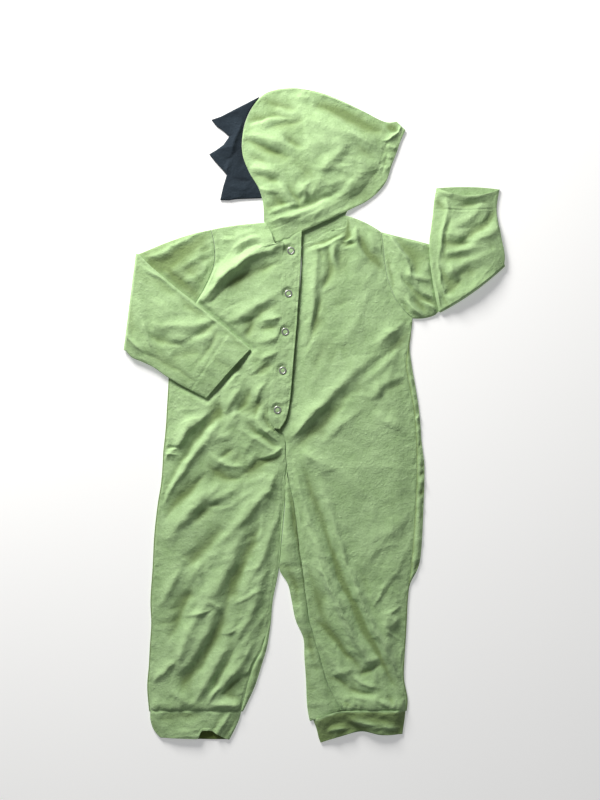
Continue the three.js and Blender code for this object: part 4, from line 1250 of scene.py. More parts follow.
def shade(colour: Colour, factor: float = 1.0) -> tuple[float, ...]:
    """A colour times a factor, up to full, with its alpha."""
    return (*(min(1.0, factor * c) for c in colour), 1.0)


@dataclass(frozen=True)
class JerseyFinish(Finish):
    """Brushed cotton jersey: heathered yarn and a soft nap, with a painted highlight on its ridges and painted shade in
    its troughs.
    """

    dark: Colour
    light: Colour
    # trough is the colour of the painted shade in the troughs; the two shares below set how strong the painted shade
    # and the painted highlight are.
    trough: Colour
    sheen: float = 0.25
    relief: float = 0.0009  # metres
    stitch: float = 0.0011  # metres
    painted_shade_share: float = 0.68
    painted_highlight_share: float = 0.32
    painted_highlight_gain: float = 1.12
    roughness: float = 0.86
    uneven: float = 0.08
    nap: float = 0.9
    specular: float = 0.22
    sheen_roughness: float = 0.5

    def build(self, knit: bpy.types.NodeTree) -> Material:
        """Builds the material.

        Args:
            knit: The shared knit group.

        Returns:
            The material.
        """
        material, n, shader = self.start()
        cloth = n.add("ShaderNodeUVMap", uv_map="cloth").outputs["UV"]
        place_at = n.add("ShaderNodeTexCoord").outputs["Object"]
        group = n.add("ShaderNodeGroup", node_tree=knit)
        for name, value in (("Place", place_at), ("Cloth", cloth), ("Stitch", self.stitch)):
            n.set(group.inputs[name], value)
        tone, height = group.outputs["Tone"], group.outputs["Height"]
        colour = n.blend(tone, shade(self.dark), shade(self.light))
        # The point attribute read here paints shade towards the trough colour below zero, and a highlight towards a
        # paler light colour above zero.
        painted_shading = n.add("ShaderNodeAttribute", attribute_name="painted_shading").outputs["Fac"]
        sides = ((-1.0, self.painted_shade_share, shade(self.trough)), (1.0, self.painted_highlight_share, shade(self.light, self.painted_highlight_gain)))
        for sign, share, towards in sides:
            amount = n.math("MULTIPLY", n.math("MAXIMUM", n.math("MULTIPLY", painted_shading, sign), 0.0), share)
            colour = n.blend(n.math("MINIMUM", amount, 1.0), colour, towards)
        bump = n.add("ShaderNodeBump", {"Height": height, "Strength": self.nap, "Distance": self.relief})
        n.set(shader["Base Color"], colour)
        n.set(shader["Roughness"], n.scaled(tone, self.uneven, self.roughness))
        n.set(shader["Normal"], bump.outputs["Normal"])
        n.set(shader["Specular IOR Level"], self.specular)
        n.set(shader["Sheen Weight"], self.sheen)
        n.set(shader["Sheen Roughness"], self.sheen_roughness)
        return material


@dataclass(frozen=True)
class SpeckledFinish(Finish):
    """A finish whose colour wanders between two shades: twisted thread, handled metal or a plain floor."""

    colour: Colour
    shades: tuple[float, float]
    grain: float
    detail: float
    roughness: float
    uneven: float = 0.0
    metallic: float = 0.0
    glow: float = 0.0

    def build(self) -> Material:
        """Builds the material.

        Returns:
            The material.
        """
        material, n, shader = self.start()
        marks = n.noise(n.add("ShaderNodeTexCoord").outputs["Object"], self.grain, self.detail)
        n.set(shader["Base Color"], n.blend(marks, *(shade(self.colour, factor) for factor in self.shades)))
        n.set(shader["Roughness"], n.scaled(marks, self.uneven, self.roughness) if self.uneven else self.roughness)
        n.set(shader["Metallic"], self.metallic)
        n.set(shader["Emission Color"], (1, 1, 1, 1))
        n.set(shader["Emission Strength"], self.glow)
        return material


NICKEL = SpeckledFinish("snap_nickel", (0.72, 0.72, 0.70), (0.8, 1.0), 900.0, 4.0, 0.22, uneven=0.25, metallic=1.0)
THREAD = SpeckledFinish("green_thread", (0.40, 0.54, 0.29), (1.0, 1.25), 1400.0, 1.0, 0.6)
FLOOR = SpeckledFinish("pale_floor", (0.86, 0.86, 0.86), (0.97, 1.0), 2.0, 2.0, 0.8, glow=0.3)
# The third colour of each jersey is its painted shade colour for the troughs.
GREEN_JERSEY = JerseyFinish("green_jersey", (0.285, 0.445, 0.190), (0.49, 0.69, 0.365), (0.135, 0.195, 0.045))
NAVY_JERSEY = JerseyFinish("navy_jersey", (0.010, 0.018, 0.027), (0.026, 0.040, 0.055), (0.004, 0.007, 0.011), 0.08)


# Where each forearm lies: what is under it keeps low.
UNDER_FOREARM = ((136.0, 252.0), (253.0, 349.0), (207.0, 401.0), (122.0, 352.0))
UNDER_LEFT_FOREARM = ((436.0, 186.0), (501.0, 187.0), (506.0, 265.0), (438.5, 313.0), (428.4, 243.0))


def outside_patch(patch: Places, x: Array, y: Array, reach: float) -> Array:
    """0 inside a convex patch of the chart and 1 away from it.

    Args:
        patch: Its corners.
        x: Squares across the chart.
        y: Squares down the chart.
        reach: How many squares the change takes.

    Returns:
        The share at each place.
    """
    inside = np.full(np.shape(x), np.inf)
    for (ax, ay), (bx, by) in zip(patch, patch[1:] + patch[:1]):
        dx, dy = bx - ax, by - ay
        inside = np.minimum(inside, ((y - ay) * dx - (x - ax) * dy) / math.hypot(dx, dy))
    return ease(-inside / reach)


@dataclass
class BodyHalf:
    """One side of the body: the front from its side seam to the placket, and the back that wraps round to it.

    Side is 1 where the body lies to the right of its outline on the chart, and -1 where it lies to the left.
    Lengths are in millimetres, and shoulder_bow in squares.
    """

    name: str
    side: int
    armhole: Table
    body: Table
    creases: list[Table]
    cloth: Material
    seed: int
    shoulder_bow: float
    placket_step: float = 0.0
    open_edge: float = 0.0
    blouse: float = 1.6
    hang: float = 2.0
    collar: float = 0.0
    relief: float = 1.0
    puff: float = 3.2
    curl: float = 0.78
    back_wall: float = 1.05

    def rows(self, armhole_rows: int, body_rows: int) -> dict[str, Array]:
        """The outline, seams and inner edges on every row, from the shoulder to the ankle.

        Args:
            armhole_rows: Rows beside the armhole.
            body_rows: Rows below it.

        Returns:
            Named columns of squares: outline and seam, front and back inner edges, lip and leg.
        """
        t = np.linspace(0, len(self.armhole) - 1, armhole_rows, endpoint=False)
        s = np.linspace(0, len(self.body) - 1, body_rows)
        upper = {k: self.armhole.at(k, t) for k in ("ox", "oy", "fx", "fy", "bx", "by")}
        lower = {k: self.body.at(k, s) for k in ("ox", "y", "roll", "fx", "bx", "by", "leg")}
        y = lower["y"]
        wave = soft_noise(y, 0 * s, 13, self.seed + 40) + 0.4 * soft_noise(y, 0 * s, 5, self.seed + 41)
        wave = 0.7 * wave * ease((y - INNER_LEG_TOP) / 30) * ease((y[-1] - y) / 20)
        roll = np.maximum(lower["roll"] + wave * ease((lower["roll"] - 1.4) / 3), 1.2)
        lip = ease((y - y[0]) / 22)
        near_neck = np.clip(1 - np.arange(armhole_rows) / (armhole_rows / 4), 0, 1)
        upper |= {"sx": upper["ox"], "lip": 0 * t, "leg": 0 * t, "bow": self.shoulder_bow * near_neck}
        lower |= {
            "fx": lower["fx"] + wave * ease(np.abs(lower["bx"] - lower["fx"]) / 5),
            "oy": y,
            "fy": y,
            "sx": lower["ox"] + self.side * roll * mix(0.35, 1, lip),
            "lip": lip,
            "leg": ease(lower["leg"]),
            "bow": 0 * s,
        }
        return {k: np.concatenate([upper[k], lower[k]]) for k in upper}

    def front(self) -> Piece:
        """Builds the front: puff, creases, small wrinkles and puckers over the plan, all fading at its seams.

        The leg blouses over the ankle band with gathers that run up from its seam, and what lies under the
        folded forearm keeps low.

        Returns:
            The object.
        """
        columns = 96
        r = {k: v[:, None] for k, v in self.rows(armhole_rows=84, body_rows=318).items()}
        u = spaced(columns)[None, :]
        x = mix(r["sx"], r["fx"], u)
        y = mix(r["oy"], r["fy"], u) - r["bow"] * 4 * u * (1 - u)
        width = np.hypot(r["fx"] - r["sx"], r["fy"] - r["oy"]) * SQUARE
        run = run_along(np.stack([x[:, columns // 2], y[:, columns // 2]], axis=-1))[:, None]
        to_side, to_inner, to_end = u * width, (1 - u) * width, run[-1] - run
        to_placket = to_inner + 60 * self.open_edge * ease((PLACKET_FOOT - 3 - y) / 20)
        edges = (to_side, to_placket, run, to_end)
        free = mix(0.12, 1, outside_patch(UNDER_FOREARM, x, y, 5))
        folds = self.relief * crease_height(self.creases, x, y)
        small = 0.8 * crumple(x, y, self.seed)
        seam = np.minimum(np.minimum(to_side, to_inner), np.minimum(run, to_end))
        pucker = 0.7 * soft_noise(x, y, 4.2, self.seed + 9) * np.exp(-seam / 9) * ease(seam / 2.5)
        gathers = soft_noise(x, y * 0.3, 3.4, self.seed + 8) * np.exp(-((to_end / 17) ** 2)) * ease(to_end / 3)
        gathers += self.blouse * np.exp(-(((to_end - 9) / 8) ** 2)) * ease(to_end / 5)
        hang = self.hang * np.exp(-((to_end / 26) ** 2)) * fade(12, to_side, to_inner)
        lift = floor_at(self.puff * fade(30, *edges) + (folds + small) * fade(5, *edges), 0.2) * fade(4, *edges)
        lift = (lift + pucker + 1.3 * gathers * fade(8, to_side, to_inner)) * free
        step = self.placket_step * ease((u - 0.7) / 0.25) * ease((PLACKET_FOOT - y) / 14)
        step = step + self.collar * ease(1 - to_inner / 16) * ease((COLLAR_FOOT - y) / 6)
        middle = place(x, y, FRONT_LEVEL + WALL / 2 + np.maximum(lift + step, 0) + hang)
        # Painted shading from the creases: painted shade in the troughs, painted highlight on the ridges.
        piece = sheet_piece(f"{self.name}_front", middle, WALL, np.clip(folds * fade(5, *edges) / 4, -1, 1), self.cloth)
        nodes, under = (f"front_{self.name}",), (f"back_{self.name}",)
        return declare(piece, Slot.GREEN, nodes, flat=(0.19, 0.70), area=0.105, rests_on=under)

    def flank(self, outline: Array, seam: Array, up: Array, outward: int) -> tuple[Array, Array]:
        """The strip that shows on one flank and the half circle round which it curls.

        Args:
            outline: The outer edge of each row.
            seam: Where the strip meets the front.
            up: 1 where the edge curls up, and 0 where it stays flat.
            outward: 1 or -1, the way out of the garment.

        Returns:
            Squares across and millimetres up, a row for each of the rows.
        """
        low, high = self.back_wall / 2, self.back_wall / 2 + 2 * self.curl
        s = np.linspace(0, 1, 9)
        arc = np.linspace(0, np.pi, 8)[1:-1]
        centre = outline - outward * (self.curl + self.back_wall / 2) / SQUARE
        strip_end = seam + outward * 0.1 / SQUARE
        room = np.abs(centre - strip_end) * SQUARE
        strip_z = high + np.minimum(0.22 * room, 2.6) * np.sin(np.pi * s) * ease(room / 3)
        arc_x = centre + outward * self.curl / SQUARE * np.sin(arc)
        arc_z = np.broadcast_to(low + self.curl * (1 + np.cos(arc)), arc_x.shape)
        x = np.concatenate([mix(strip_end, centre, s), arc_x], axis=1)
        z = np.concatenate([strip_z, arc_z], axis=1)
        flat_x = outline - outward * (0.1 + 2.4 * np.linspace(0, 1, x.shape[1]))
        return mix(flat_x, x, up), mix(low, z, up)

    def back(self) -> Piece:
        """Builds the back: a sheet on the surface whose edges curl up and over to the front's seams.

        Across a row the middle line runs along the strip that shows, round a half circle, under the front
        and, on the leg, round a second half circle to the inner seam. The strip carries folds, and the
        underside shallow hollows.

        Returns:
            The object.
        """
        r = {k: v[:, None] for k, v in self.rows(armhole_rows=50, body_rows=210).items()}
        side, low = self.side, self.back_wall / 2
        outer_x, outer_z = self.flank(r["ox"], r["sx"], r["lip"], -side)
        inner_x, inner_z = self.flank(r["bx"], r["fx"], r["leg"], side)
        under = np.linspace(0, 1, 14)[1:-1]
        level_x = mix(outer_x[:, -1:] + side, inner_x[:, -1:] - side, under)
        x = np.concatenate([outer_x, level_x, inner_x[:, ::-1]], axis=1)
        z = np.concatenate([outer_z, np.full_like(level_x, low), inner_z[:, ::-1]], axis=1)
        across, strip = r["bx"] - r["ox"], r["bx"] - r["fx"]
        share = np.clip((x - r["ox"]) / across, 0, 1)
        y = mix(r["oy"], r["by"], share) - r["bow"] * 4 * share * (1 - share)
        beyond = np.clip((x - r["fx"]) / np.where(np.abs(strip) < 0.5, 0.5 * side, strip), 0, 1)
        beyond = beyond * (share > (r["fx"] - r["ox"]) / across)
        y = mix(y, mix(r["oy"], r["by"], beyond), r["leg"])
        visible = ease((z - low) / self.curl - 1)
        folds = crease_height(self.creases, x, y) * 0.5 + 0.9 * crumple(x, y, self.seed + 20)
        folds = folds + 0.7 * soft_noise(x * 0.4, y, 5, self.seed + 24) + crease_height([STRIP_CREASES], x, y)
        off_seams = fade(3, np.abs(x - r["sx"]), np.abs(x - r["fx"]))
        z = z + visible * np.clip(folds, 1.75 - z, 3.5) * off_seams
        hollow = 0.4 * ease(crease_height(self.creases, x + 9, y) / 3 + 0.35 * crumple(x, y, self.seed + 30))
        off_edges = ease(np.minimum(np.abs(x - r["ox"]), np.abs(x - r["bx"])) / 6)
        middle = place(x, y, z + hollow * (1 - ease((z - low) / 0.5)) * off_edges)
        slope = np.gradient(middle, axis=1)
        normals = np.stack([-slope[..., 2], 0 * slope[..., 2], slope[..., 0]], axis=-1)
        normals /= np.maximum(np.linalg.norm(normals, axis=-1, keepdims=True), 1e-9)
        steps = np.linalg.norm(np.diff(middle, axis=1, prepend=middle[:, :1]), axis=-1)
        uv = np.stack([np.cumsum(steps, axis=1), middle[..., 1]], axis=-1)
        # Painted shading: painted shade in the strip's troughs and in a dark line along its seam with the front, and a
        # painted highlight on its ridges.
        groove = 1.2 * visible * np.exp(-(((x - r["sx"]) / 1.3) ** 2))
        painted_shading = np.clip(folds * visible / 3 - groove, -1, 1)
        piece = sheet_piece(f"{self.name}_back", middle, self.back_wall, painted_shading, self.cloth, uv, normals)
        return declare(piece, Slot.GREEN, (f"back_{self.name}",), flat=(0.22, 0.72), area=0.115)


def ring(first: Array, second: Array) -> Array:
    """Joins rows of two layers into loops: across the first, and back across the second without its ends."""
    return np.concatenate([first, second[:, -2:0:-1]], axis=1)


@dataclass
class FlatTube:
    """A sleeve or ankle band: a tube of cloth pressed flat, whose upward layer carries the creases.

    The creases, crown and shade are given for the first limb (the upper arm) and the second (the forearm); shade is
    painted shade, a darkening painted into the colour from the seam on, and the inner shade is painted shade on the
    lower layer inside the mouth.
    Lengths are in millimetres, the cut in metres, and the notch is where it starts and its depth in squares.
    """

    name: str
    node: str
    cloth: Material
    creases: tuple[list[Table], list[Table]]
    cut: tuple[float, float]
    seed: int
    half: float = FORE_HALF
    wall: float = 1.05
    divisions: int = 70
    opening: float = 2.0
    hem: float = 0.0
    slump: float = 0.0
    notch: tuple[float, float] = (1.0, 0.0)
    # Painted shade for each limb: below zero it darkens the upper layer's colour over the reach from the seam.
    shade: tuple[float, float] = (0.0, 0.0)
    painted_shade_reach: float = 60.0
    mouth_reach: float = 26.0
    crown_reach: float = 22.0
    covered: Places = ()
    crown: tuple[float, float] = (2.0, 2.0)
    # Painted shade on the lower layer, darkest at the mouth.
    painted_inner_shade: float = 0.0
    area: float | None = None

    def armhole_bend(self, armhole: Table, w: Array) -> Array:
        """How far an armhole's curve lies from the straight line between its ends.

        Args:
            armhole: The armhole.
            w: Shares of the way down it.

        Returns:
            Squares across and down at each share.
        """
        curve = armhole.points("ox", "oy", w * (len(armhole) - 1))
        return curve - mix(curve[0], curve[-1], w[:, None])

    def limb_stations(self, table: Table, count: int, facing: float, curve: Array) -> dict[str, Array]:
        """Lines across the upper arm or the forearm.

        Args:
            table: The limb's table.
            count: How many lines.
            facing: 1 where its first layer is up, and -1 where the fold has turned it over.
            curve: The armhole's bend at each share of a line.

        Returns:
            Named arrays, a row for each station.
        """
        w = spaced(self.divisions)
        t = np.linspace(0, len(table) - 1, count)
        bow = np.stack([table.optional("bow_x", t), table.optional("bow_y", t)], axis=-1)
        sewn = np.clip(table.optional("armhole", t), 0, 1)
        return {
            "a": table.points("ax", "ay", t),
            "b": table.points("bx", "by", t),
            "z": table.at("z", t),
            "bend": bow[:, None] * (4 * w * (1 - w))[:, None] + sewn[:, None, None] * curve,
            "dip": table.optional("dip", t),
            "up": np.full(count, facing),
            "turn": 0 * t,
            "limb": np.full(count, float(facing < 0)),
        }

    def sleeve_stations(self, upper: Table, fore: Table, armhole: Table) -> dict[str, Array]:
        """Lines across the sleeve from the armhole, round the elbow fold, to the hem.

        Round the fold the line turns on a half circle that stands up on the fold line.

        Args:
            upper: The upper arm's table.
            fore: The forearm's table.
            armhole: The armhole that it is sewn to.

        Returns:
            Named arrays, a row for each station.
        """
        curve = self.armhole_bend(armhole, spaced(self.divisions))
        lower = self.limb_stations(upper, count=66, facing=1.0, curve=curve)
        above = self.limb_stations(fore, count=96, facing=-1.0, curve=curve)
        angle = np.linspace(0, np.pi, 9)[1:-1]
        radius = (above["z"][0] - lower["z"][-1]) / 2
        line = lower["b"][-1] - lower["a"][-1]
        out = np.array([line[1], -line[0]]) / np.linalg.norm(line)
        out *= np.sign(np.dot(out, lower["a"][-1] - lower["a"][-9]))
        move = np.sin(angle)[:, None] * radius / SQUARE * out
        fold = {
            "a": lower["a"][-1] + move,
            "b": lower["b"][-1] + move,
            "z": lower["z"][-1] + radius * (1 - np.cos(angle)),
            "bend": np.repeat(lower["bend"][-1:], len(angle), axis=0),
            "dip": 0 * angle,
            "up": np.cos(angle),
            "turn": np.sin(angle),
            "limb": (angle > np.pi / 2).astype(float),
        }
        stations = {k: np.concatenate([lower[k], fold[k], above[k]]) for k in lower}
        return {**stations, "out": np.tile(out, (len(stations["z"]), 1))}

    def band_stations(self, table: Table) -> dict[str, Array]:
        """Lines across an ankle band, from the leg's seam to the rim.

        Each line bends down the chart on a curve through its quarter points.

        Args:
            table: The band's table.

        Returns:
            Named arrays, a row for each station.
        """
        quarters = 4 * spaced(self.divisions)
        t = np.linspace(0, len(table) - 1, 46)
        bent = np.stack([0 * t, *(table.at(k, t) for k in ("b1", "b2", "b3")), 0 * t], axis=1)
        bent = np.column_stack([2 * bent[:, 0] - bent[:, 1], bent, 2 * bent[:, 4] - bent[:, 3]])
        i = np.clip(np.floor(quarters).astype(int), 0, 3)
        y = catmull_rom(*(bent[:, i + k] for k in range(4)), quarters - i)
        return {
            "a": table.points("ax", "ay", t),
            "b": table.points("bx", "by", t),
            "z": np.full(len(t), self.half),
            "bend": np.stack([0 * y, y], axis=-1),
            "dip": table.at("dip", t),
            "up": np.ones(len(t)),
            "turn": 0 * t,
            "limb": 0 * t,
            "out": np.tile([0.0, 1.0], (len(t), 1)),
        }

    def layer(self, stations: dict[str, Array], side: float, inward: float) -> tuple[Array, Array, Array]:
        """One layer of the tube, from fold edge to fold edge.

        The layer that faces up carries the creases, its hem, the slump from the seam and the opening at the
        mouth, and the one that faces down shallow dents.

        Args:
            stations: The lines across the tube.
            side: 1 for the first layer and -1 for the second.
            inward: How far inside the outer skin it is.

        Returns:
            Points in metres, places on the cloth in metres, and the painted shading, from painted shade at -1 to
            painted highlight at 1.
        """
        w = spaced(self.divisions)
        a, b = stations["a"][:, None], stations["b"][:, None]
        width = np.linalg.norm(b - a, axis=-1) * SQUARE
        run = run_along((mix(a, b, w[None, :, None]) + stations["bend"])[:, len(w) // 2])[:, None]
        edge, to_mouth = np.minimum(w, 1 - w) * width, run[-1] - run
        turned, up, limb, dip = (stations[k][:, None] for k in ("turn", "up", "limb", "dip"))
        mouth, bell = ease(1 - to_mouth / self.mouth_reach), 4 * w * (1 - w)
        skyward = (side * up > 0.5).astype(float)
        start, depth = self.notch
        notch = depth * ease((w - start) / 0.06) * ease((1 - w) / 0.3)
        xy = mix(a, b, (0.5 + (w - 0.5) * (1 - 2 * inward / width))[..., None]) + stations["bend"]
        x, y = xy[..., 0], xy[..., 1] + skyward * (dip * bell + notch * mouth**2)
        folds = mix(*(crease_height(tables, x, y) for tables in self.creases), limb)
        folds = np.maximum(folds, DEEPEST_TROUGH * np.tanh(folds / DEEPEST_TROUGH))
        small = 0.7 * crumple(x, y, self.seed)
        inside = fade(4, edge, run) * (1 - turned)
        crown = mix(*self.crown, limb) * fade(self.crown_reach, edge, run)
        open_air = mix(mix(0.15, 1, outside_patch(self.covered, x, y, 4)), 1, limb) if self.covered else 1.0
        hem = self.hem * ease((HEM_DEPTH - 0.5 - to_mouth) / 1.5) * ease(edge / 3)
        groove = (self.hem > 0) * stitched_groove(to_mouth - HEM_DEPTH)
        pucker = 0.9 * soft_noise(x, y, 4.4, self.seed + 5) * np.exp(-run / 9) * ease(run / 2.5) * ease(edge / 5)
        lift = floor_at(0.3 + crown + folds + small + groove, 0.15) * inside * open_air + hem + pucker
        lift = lift + self.slump * (1 - ease(run / run[-1])) * ease(edge / 12) + self.opening * mouth**2 * bell
        dent = 0.3 * ease(folds / 3 + 0.5 * small) * inside * (1 - skyward)
        swell = np.sqrt(1 - (1 - np.clip(edge / self.half, 0, 1)) ** 2)
        out = (self.half - inward) * swell + (lift * skyward - dent) * (1 - turned)
        push = (-turned * side * out / SQUARE)[..., None] * stations["out"][:, None, :]
        points = place(x + push[..., 0], y + push[..., 1], stations["z"][:, None] + side * up * out)
        # Painted shading: painted shade in the troughs and a painted highlight on the ridges, with the limb's painted
        # shade; the layer facing down gets painted shade near the mouth.
        tone = folds * inside / 4 + mix(*self.shade, limb) * ease(run / self.painted_shade_reach)
        tone = np.clip(tone, -1, 1) * skyward - (1 - skyward) * self.painted_inner_shade * ease(mouth * 2)
        return points, 0.001 * np.stack(np.broadcast_arrays(w * width * side, run), axis=-1), tone

    def build(self, stations: dict[str, Array]) -> Piece:
        """Builds the tube: at each station a ring whose two layers part as a circle does at its edges.

        Args:
            stations: The lines across it.

        Returns:
            The object.
        """
        outer, inner = ([self.layer(stations, side, inward) for side in (1.0, -1.0)] for inward in (0.0, self.wall))
        points, uv, painted_shading = (ring(*pair) for pair in zip(*outer))
        piece = tube_piece(self.name, points, ring(inner[0][0], inner[1][0]), uv, painted_shading, self.cloth)
        return declare(piece, Slot.GREEN, (self.node,), flat=self.cut, area=self.area)


@dataclass
class Hood:
    """The two side panels of the hood, which lies on its left side."""

    cloth: Material
    puff: float = 6.5
    hem_width: float = 14.0  # squares
    crown_length: float = 330.0

    @staticmethod
    def neck_level(y: Array) -> Array:
        """How far the back neck lifts what lies on it, from row 198 of the chart down."""
        return 1.5 * ease((y - 198) / 16)

    @staticmethod
    def placket_level(x: Array, y: Array) -> Array:
        """How much further the placket lifts the upper panel, past column 272 and row 205."""
        return 2.5 * ease((x - 272) / 11) * ease((y - 205) / 18)

    def grid(self, face: str, along: int, across: int) -> tuple[Array, Array, Array, Array]:
        """The plan of a side panel, on straight lines from the crown seam to the face edge.

        Args:
            face: Which face edge, r or l.
            along: Points from the peak to the nape.
            across: Points from the crown to the face.

        Returns:
            Squares across and down, and the distances from the crown seam and from the face edge in
            millimetres.
        """
        t = np.linspace(0, len(HOOD) - 1, along)[:, None]
        u = spaced(across)
        x = mix(HOOD.at("cx", t), HOOD.at(face + "x", t), u)
        y = mix(HOOD.at("cy", t), HOOD.at(face + "y", t), u)
        width = np.hypot(x[:, -1:] - x[:, :1], y[:, -1:] - y[:, :1]) * SQUARE
        return x, y, u * width, (1 - u) * width

    def upper(self) -> Piece:
        """Builds the right side panel, puffed and creased, with its turned face hem.

        Returns:
            The object.
        """
        rows = 210
        x, y, to_crown, to_face = self.grid("r", along=rows, across=132)
        along = np.linspace(0, 1, rows)[:, None]
        run = np.minimum(along, 1 - along) * self.crown_length
        edges = (to_crown, to_face, run)
        folds = crease_height(HOOD_FOLDS, x, y)
        hem_line = self.hem_width * SQUARE
        hem = 0.15 * ease((hem_line - to_face) / 1.6) * ease(to_face / 2)
        groove = stitched_groove(to_face - hem_line)
        ruffle = 0.5 * soft_noise(x, y, 6, 77) * np.exp(-to_face / 14) * ease(to_face / 3)
        ruffle = ruffle + 0.8 * soft_noise(x, y, 4.4, 79) * np.exp(-to_crown / 10) * ease(to_crown / 2.5)
        lift = self.puff * fade(62, *edges) + (folds + 0.8 * crumple(x, y, 71)) * fade(5, *edges) + groove
        lift = floor_at(lift, 0.2) * fade(3, *edges) + hem + ruffle * ease(run / 8)
        level = FRONT_LEVEL + self.neck_level(y) + self.placket_level(x, y)
        middle = place(x, y, level + WALL / 2 + np.maximum(lift, 0))
        # Painted shading from the folds: painted shade in the troughs, painted highlight on the ridges.
        painted_shading = np.clip(folds * fade(5, *edges) / 4, -1, 1)
        piece = sheet_piece("hood_upper_side", middle, WALL, painted_shading, self.cloth)
        under = ("hood_under_side",)
        return declare(piece, Slot.GREEN, ("hood_right",), flat=(0.19, 0.24), area=0.030, rests_on=under)

    def under(self) -> Piece:
        """Builds the left side panel, flat on the surface and over the back neck.

        Returns:
            The object.
        """
        x, y, to_crown, to_face = self.grid("l", along=110, across=60)
        small = 0.35 * crumple(x, y, 81)
        low = ease((y - 212) / 14)
        hollow = 0.35 * ease(crease_height([HOOD_CREASES], 2 * x - 330, y) / 4 + small) * ease(to_crown / 8)
        lift = mix(hollow, np.maximum(small, 0), low) * ease(to_face / 3)
        middle = place(x, y, self.neck_level(y) + WALL / 2 + lift)
        piece = sheet_piece("hood_under_side", middle, WALL, 0 * x, self.cloth)
        return declare(piece, Slot.GREEN, ("hood_left",), flat=(0.19, 0.24), area=0.031)


@dataclass
class SpikeStrip:
    """The strip of three soft spikes sewn into the crown seam."""

    cloth: Material
    thick: float = 2.3

    def build(self) -> Piece:
        """Builds the strip: two layers with rounded edges, a soft crest along it and dents between the spikes.

        Returns:
            The object.
        """
        last = len(SPIKES) - 1
        t = np.linspace(0, last, 240)[:, None]
        ix, iy, ox, oy = (np.interp(t, np.arange(last + 1), SPIKES.columns[k]) for k in ("ix", "iy", "ox", "oy"))
        u = spaced(56)
        x, y = mix(ix, ox, u), mix(iy, oy, u)
        folds = crease_height([SPIKE_CREASES], x, y)
        edge = np.minimum(u, 1 - u) * np.hypot(ox - ix, oy - iy) * SQUARE
        ends = ease(np.minimum(t, last - t))
        lift = 1.4 * np.sqrt(np.clip(edge / 12, 0, 1)) + (folds + 0.3 * crumple(x, y, 91)) * ease(edge / 5)
        middle = place(x, y, self.thick / 2 + 0.7 * np.maximum(lift * ends, 0))
        # Painted shading from the folds: painted shade in the troughs, painted highlight on the ridges.
        piece = sheet_piece("spike_strip", middle, self.thick, np.clip(folds / 3, -1, 1), self.cloth)
        return declare(piece, Slot.NAVY, ("spikes",), flat=(0.045, 0.15), area=0.0052)


@dataclass
class Placket:
    """The snapped opening: two straps of doubled jersey, one over the other."""

    cloth: Material
    lap: float = 1.5  # squares
    snap_lift: float = 1.5
    flat_round_snap: float = 5.0

    def puckers(self, x: Array, y: Array, u: Array, edge: Array) -> Array:
        """How the outer strap rises: with the front's folds at its seam, in its own puckers, flat at the snaps.

        Args:
            x: Squares across the chart.
            y: Squares down the chart.
            u: The share of the way across the strap.
            edge: The distance from its edges in millimetres.

        Returns:
            The rise in millimetres.
        """
        stitched = -0.3 * np.exp(-((edge - 2.6) ** 2))
        own = 2.6 + stitched + 0.5 * soft_noise(x, y, 4, 61) + 0.6 * soft_noise(x, y, 9, 63)
        folds = 1.3 * crease_height(RIGHT_FRONT_FOLDS, x, y) + 0.8 * crumple(x, y, 11)
        shared = floor_at(3.2 * ease((y - 238) / 21) + folds, 0.2)
        lift = mix(shared, own, ease((u - 0.1) / 0.6)) * mix(0.3, 1, ease((PLACKET_FOOT - 1 - y) / 18))
        for snap in SNAP_PLACES.rows():
            away = np.hypot(x - snap["x"], y - snap["y"]) * SQUARE
            lift = mix(self.snap_lift, lift, ease((away - self.flat_round_snap) / 6))
        return lift

    def strap(self, name: str, table: Table, level: float, wall: float, outer: bool = False) -> Piece:
        """Builds a strap.

        Args:
            name: The piece's name.
            table: Its left and right edges.
            level: Its underside.
            wall: Its thickness.
            outer: Whether it is the outer one, which laps over the front's edge and puckers.

        Returns:
            The object, not yet declared.
        """
        t = np.linspace(0, len(table) - 1, 260)[:, None]
        u = spaced(34)
        left, right = table.at("lx", t), table.at("rx", t)
        x = mix(left - self.lap * outer, right, u)
        y = mix(table.at("ly", t), table.at("ry", t), u)
        edge = np.minimum(u, 1 - u) * (right - left) * SQUARE
        lift = self.puckers(x, y, u, edge) if outer else 0 * x
        # Painted shading: where the strap lies low its colour gets painted shade, and where it rises a painted
        # highlight.
        painted_shading = np.clip((lift - 2.0) / 2.5, -0.6, 1)
        return sheet_piece(name, place(x, y, level + wall / 2 + lift), wall, painted_shading, self.cloth)

    def under(self) -> Piece:
        """Builds the under placket, on the left front."""
        piece = self.strap("placket_under_strap", PLACKET_UNDER, FRONT_LEVEL, 1.15)
        return declare(piece, Slot.GREEN, ("placket_under",), flat=(0.021, 0.255), rests_on=("left_front",))

    def outer(self) -> Piece:
        """Builds the outer placket, over the under placket.

        Returns:
            The object.
        """
        piece = self.strap("placket_outer_strap", PLACKET_OUTER, PLACKET_LEVEL, 1.7, outer=True)
        under = ("placket_under_strap",)
        return declare(piece, Slot.GREEN, ("placket_outer",), flat=(0.023, 0.275), rests_on=under)


